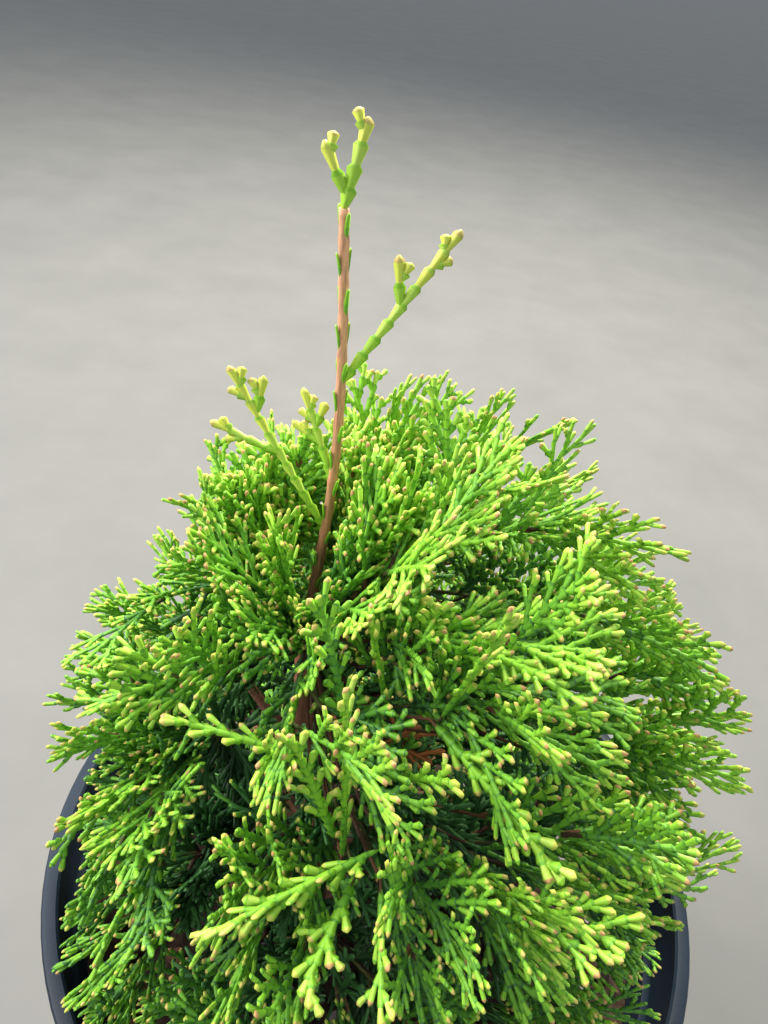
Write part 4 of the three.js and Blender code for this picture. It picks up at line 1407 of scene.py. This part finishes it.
# Painted light and shade go into a spray's tone here: darker deep in the crown, brighter towards its face and
# on the sunny side, plus a random spread.
def painted_light_tone(twig, draw):
    end = twig_point(twig, twig["reach"])
    outside = clamp((crown_share(end) - DEEP) / DEEP_TO_FACE)
    painted_sun = (end - CROWN_MIDDLE).normalized().dot(PAINTED_SUN_DIRECTION)
    return PAINTED_SHADE_TONE + PAINTED_LIGHT_TO_FACE * outside + PAINTED_SUN_GAIN * clamp(painted_sun, -0.5, 1) + TONE_SPREAD * (draw() - 0.5)


def drawn_in(twig):
    """Shortens a twig a few times, until it ends inside the crown's limit."""
    for _ in range(SHORTENINGS):
        end = twig_point(twig, twig["reach"])
        if crown_share(end) <= crown_limit(end):
            break
        twig["reach"] *= SHORTENING
        twig["bare"] *= SHORTENING


def dressed(twig, allowed, draw):
    """The spray on one twig, and the twig itself for the list of wood."""
    drawn_in(twig)
    tone = painted_light_tone(twig, draw)
    line = [twig_point(twig, share * (twig["bare"] + TWIG_INTO)) for share in TWIG_SHARES]
    woody.append({"points": line, "radii": TWIG_RADII})
    return spray_shoots(
        twig, tone, allowed, draw, plain=tone < PLAIN_UNDER, width=BROAD if tone < BROAD_UNDER else 1.0,
        tip_odds=clamp(0.25 * (tone - 0.8), 0, TIP_ODDS_MOST),
    )


def grow(mass):
    """All shoots of one mass."""
    draw, allowed = seeded_draws(mass["seed"]), room_for(mass, FINE_SPARE, crown_limit)
    twigs = source_twigs(mass, draw)
    twigs += finer_twigs(mass, twigs, draw)
    twigs += heart_twigs(mass, draw)
    twigs += [one for twig in twigs for one in side_sprays(twig, allowed, draw)]
    twigs += stem_sprays(mass, allowed, draw)
    grown = placed_shoots(FIRST_GROUPS, mass, draw)
    for twig in twigs:
        grown += dressed(twig, allowed, draw)
    grown += placed_shoots(LAST_GROUPS, mass, draw)
    tip_radius = mass["tip_radius"]
    line = [mass["root"] - mass["along"] * 2] + [mass["stem_at"](share) for share in QUARTERS]
    radii = [tip_radius] + [lerp(tip_radius, STEM_TIP_RADIUS, share) for share in QUARTERS]
    woody.append({"points": line, "radii": radii})
    return grown


shoots_of = {mass["name"]: grow(mass) for mass in masses}
print("sprays:", len(woody) - len(masses), "shoots:", sum(len(grown) for grown in shoots_of.values()))

# %% [markdown]
# ## From records to meshes
# Shoots with the same number of scales are handled together, as one array of rings. A ring has four
# corners: left, face, right and back. Where the side scales are widest the face scales are
# thinnest, and the other way round, which gives the shoot its braided look with few faces.

# %% Rings of shoots
SHOOT_FLATNESS, SHOOT_TAPER, FOOT = 0.62, 0.16, 0.42
SWELL_AT, END_SWELL_AT = 0.8, 0.74
SIDE_SWELLS, FACE_SWELLS, END_SWELLS = [0.62, 1.08], [0.95, 0.8], (1.04, 0.95)
PLAIN_SWELLS, TIP_LENGTH, TIP_WIDTH, TIP_END = (1.0, 0.8), 0.14, 0.8, 0.3


def column(members, key):
    """One entry of every record, as an array of numbers or of vectors."""
    return np.array([one[key] for one in members], float)


def ring_profile(count, plain):
    """For each ring its share of the length, and how far its sides and its faces stand out."""
    steps = np.arange(count)
    if plain:
        shares = steps / count
        sides, faces = np.where(steps % 2, *PLAIN_SWELLS), np.where(steps % 2, *PLAIN_SWELLS[::-1])
    else:
        shares = np.sort(np.concatenate([steps / count, (steps + SWELL_AT) / count]))
        shares[-1] = (count - 1 + END_SWELL_AT) / count
        sides, faces = np.tile(SIDE_SWELLS, count), np.tile(FACE_SWELLS, count)
        sides[-1], faces[-1] = END_SWELLS
    sides[0], faces[0] = FOOT, FOOT
    return np.append(shares, 1 - TIP_LENGTH / count), np.append(sides, TIP_WIDTH), np.append(faces, TIP_WIDTH)


def shoot_rings(members, count, plain):
    """Points by shoot, ring and corner; the last ring is the small blunt end."""
    base, along, across, bend = (column(members, key) for key in ("base", "along", "across", "bend"))
    length, half = column(members, "length"), column(members, "half_width")
    across = across - along * np.sum(across * along, axis=1, keepdims=True)
    across /= np.linalg.norm(across, axis=1, keepdims=True)
    face = np.cross(along, across)
    shares, sides, faces = ring_profile(count, plain)
    taper = 1 - SHOOT_TAPER * shares[None]
    middle = base[:, None] + along[:, None] * (length[:, None] * shares[None])[..., None]
    middle = middle + bend[:, None] * (shares**2)[None, :, None]
    wide = (half[:, None] * taper * sides[None])[..., None] * across[:, None]
    thick = (half[:, None] * SHOOT_FLATNESS * taper * faces[None])[..., None] * face[:, None]
    rings = np.stack([middle + wide, middle + thick, middle - wide, middle - thick], axis=2)
    ends = base + along * length[:, None] + bend
    ends = np.repeat(ends[:, None, None], 4, axis=2) + TIP_END * (rings[:, -1:] - middle[:, -1:, None])
    return np.concatenate([rings, ends], axis=1)


print("rings of a shoot with four scales:", len(ring_profile(4, False)[0]) + 1)

# %% [markdown]
# The faces run between the rings, and each band of faces gets one plain tint. It brightens along
# the shoot, and the waist between two scales is darker, as it lies in their shade.

# %% Faces and tints of shoots
WAIST_DARKER, LAST_BRIGHTER = 1.2, 0.9


def wall_quads(rings, sides):
    """The faces between the rings of a rod or tube, as corner numbers."""
    quads = []
    for low in range(0, (rings - 1) * sides, sides):
        for side in range(sides):
            after = (side + 1) % sides
            quads.append([low + side, low + after, low + sides + after, low + sides + side])
    return quads


def shoot_tints(members, bands, plain):
    start, gain = column(members, "tone"), column(members, "gain")
    tone = start[:, None] + gain[:, None] * (np.arange(bands) / bands)[None]
    if not plain:
        tone[:, 1::2] -= WAIST_DARKER
        tone[:, -3] += LAST_BRIGHTER
    tint = np.clip(np.rint(tone), 0, FIRST_TIP - 1).astype(int)
    tips = np.array([-1 if one["tip"] is None else one["tip"] for one in members])
    for band in range(bands - (1 if plain else 2), bands):
        tint[:, band] = np.where(tips >= 0, tips, tint[:, band])
    tint[start < DRY_UNDER] = DRY
    tint = np.repeat(tint, 4, axis=1)
    return np.concatenate([tint, tint[:, -1:]], axis=1).ravel()


def shoot_arrays(shoots):
    """Points, quads and tints of a list of shoots."""
    groups = {}
    for one in shoots:
        count = max(2, round(one["length"] / one["pitch"]))
        groups.setdefault((count, one["plain"]), []).append(one)
    all_points, all_faces, all_tints, met = [], [], [], 0
    for (count, plain), members in sorted(groups.items()):
        rings = shoot_rings(members, count, plain)
        ring_count = rings.shape[1]
        corners = 4 * ring_count
        quads = np.array(wall_quads(ring_count, 4) + [[corners - 4, corners - 3, corners - 2, corners - 1]])
        offset = met + np.arange(len(members))[:, None, None] * corners
        all_points.append(rings.reshape(-1, 3))
        all_faces.append((quads[None] + offset).reshape(-1, 4))
        all_tints.append(shoot_tints(members, ring_count - 1, plain))
        met += len(members) * corners
    return np.vstack(all_points) * MM, np.vstack(all_faces), np.concatenate(all_tints)


def foliage_piece(name, shoots, nodes):
    points, faces, tints = shoot_arrays(shoots)
    piece = mesh_from_arrays(name, points, faces, tints, smooth=True)
    return finished(piece, name, PALETTE, nodes)


print("faces of a rod with ten rings:", len(wall_quads(10, 4)) + 1)

# %% [markdown]
# Masses that stand side by side are joined, one to three at a time, so that no piece gets too heavy.

# %% Foliage pieces
foliage = []
for tier in TIERS:
    names = [mass["name"] for mass in masses if mass["tier"] is tier]
    for number, start in enumerate(range(0, len(names), tier["per_piece"])):
        group = names[start : start + tier["per_piece"]]
        together = [one for name in group for one in shoots_of[name]]
        foliage.append(foliage_piece(f"{tier['name']}_sprays_{number + 1}", together, group))
print("foliage triangles:", sum(2 * len(piece.data.polygons) for piece in foliage))

# %% [markdown]
# ## The leader
# The leader stands bare above the crown. Pairs of pointed scales still sit on it, each pair a
# quarter turn on from the last, and a few small sprays leave it. Those are stouter and yellower
# than the rest because they are this season's.

# %% Leader sprays
SCALE_PAIRS_FROM, SCALE_PAIR_STEP, SCALES_STOP, SCALE_TURN, SCALE_TURN_SPREAD = 296.0, 7.6, 3, 35, 12
SCALE_LENGTH, SCALE_STANDS_OUT, SCALE_SINKS, SCALE_BEND = 5.6, 0.03, 0.35, 0.7
SCALE_LOOK = {"half_width": 0.7, "tone": 4.4, "gain": 2.4, "tip": None, "plain": True}
PRONG_LOOK = {"tone": 5.8, "gain": 2.8, "pitch": 4.4}
STUB_LOOK = {"half_width": 1.25, "tone": 6.8, "gain": 1.2}
PRONG_HALF_WIDTH, LEADER_TIP_HALF_WIDTH = 1.3, 1.5
LEADER_STUB_STEP, LEADER_STUB_ANGLE, LEADER_STUB_SIZES = 3.4, 0.6, (3.4, 5)


def leader_scales(draw):
    scales, height, pair = [], SCALE_PAIRS_FROM, 0
    while height < TRUNK_TIP - SCALES_STOP:
        rises = (trunk_point(height + 1) - trunk_point(height)).normalized()
        for half_turn in (0, 180):
            out = heading(SCALE_TURN + 90 * (pair % 2) + half_turn + SCALE_TURN_SPREAD * draw(), 0)
            base = trunk_point(height - 2) + out * (trunk_radius(height) - SCALE_SINKS)
            heads, length = (rises + out * SCALE_STANDS_OUT).normalized(), SCALE_LENGTH + draw()
            scales.append(shoot(base, heads, UP.cross(out), length, bend=out * SCALE_BEND, **SCALE_LOOK))
        height += SCALE_PAIR_STEP
        pair += 1
    return scales


def gold_or_tan(tan_odds, draw):
    return FIRST_TIP + (1 if draw() < tan_odds else 0)


def leader_spray_shoots(spray, draw):
    """A stout shoot for each prong of the spray, with short stubs near its end."""
    grown, at_tip = [], spray["name"] == "tip"
    first_stub, stubs_over = (2.6, 4) if at_tip else (5.2, 10)
    for number, (start, end) in enumerate(leader_prongs(spray)):
        out, length = (end - start).normalized(), (end - start).length
        aside = (UP - out * out.z).normalized()
        stout = LEADER_TIP_HALF_WIDTH if at_tip and number == 0 else PRONG_HALF_WIDTH
        tip = gold_or_tan(0.5, draw)
        grown.append(shoot(start, out, aside, length, stout, tip=tip, **PRONG_LOOK))
        t, side = length - first_stub, 1
        while t > 3 and t > length - stubs_over:
            turn = LEADER_STUB_ANGLE
            heads = (out * math.cos(turn) + aside * side * math.sin(turn)).normalized()
            across = UP.cross(heads).cross(heads).normalized()
            size = lerp(*LEADER_STUB_SIZES, draw())
            tip = gold_or_tan(0.6, draw)
            grown.append(shoot(start + out * t, heads, across, size, tip=tip, **STUB_LOOK))
            t -= LEADER_STUB_STEP
            side = -side
    return grown


leader_draw = seeded_draws(414)
leader_shoots = leader_scales(leader_draw)
for spray in LEADER_SPRAYS:
    leader_shoots += leader_spray_shoots(spray, leader_draw)
leader_nodes = [f"leader_spray_{spray['name']}" for spray in LEADER_SPRAYS]
foliage_piece("leader_sprays", leader_shoots, leader_nodes)

# %% [markdown]
# ## Twigs
# Between a bough's tip and the leaves the wood is as thin as wire. These twigs are joined tubes
# made from arrays, and their browns are plain and dealt out twig by twig.

# %% Twigs
TWIG_SIDES, TWIG_EDGE = 6, math.radians(70)
TWIG_TINTS = [
    plain_finish("twig_red_brown", (0.12, 0.05, 0.025), 0.8, 0.25),
    plain_finish("twig_umber", (0.06, 0.032, 0.02), 0.85, 0.25),
    plain_finish("twig_green_brown", (0.07, 0.075, 0.02), 0.75, 0.25),
]
FOOT_CAP, END_CAP = (0, 3, 2, 1), (0, 1, 2, 3)


def tube_rings(line, radii):
    """Corners round each point of a bent line."""
    turn = (np.arange(TWIG_SIDES) * TURN / TWIG_SIDES)[:, None]
    rings = []
    for i, (point, radius) in enumerate(zip(line, radii)):
        ahead = (line[min(i + 1, len(line) - 1)] - line[max(i - 1, 0)]).normalized()
        across = (UP - ahead * ahead.z).normalized()
        spokes = np.cos(turn) * np.array(across) + np.sin(turn) * np.array(ahead.cross(across))
        rings.append(np.array(point) + radius * spokes)
    return rings


def tube_quads(rings):
    """The faces of a tube with six sides, and two that close each end."""
    quads = wall_quads(rings, TWIG_SIDES)
    for low, order in ((0, FOOT_CAP), ((rings - 1) * TWIG_SIDES, END_CAP)):
        quads.append([low + side for side in order])
        quads.append([low + (side + 3) % TWIG_SIDES for side in order])
    return quads


twig_points, twig_faces, twig_tints, met = [], [], [], 0
for number, tube in enumerate(woody):
    quads = tube_quads(len(tube["points"]))
    twig_points += tube_rings(tube["points"], tube["radii"])
    twig_faces.append(np.array(quads) + met)
    twig_tints += [number % len(TWIG_TINTS)] * len(quads)
    met += len(tube["points"]) * TWIG_SIDES
twigs = mesh_from_arrays("twigs", np.vstack(twig_points) * MM, np.vstack(twig_faces), twig_tints)
work_on(twigs)
bpy.ops.object.shade_smooth_by_angle(angle=TWIG_EDGE)
finished(twigs, "twigs", TWIG_TINTS)

# %% [markdown]
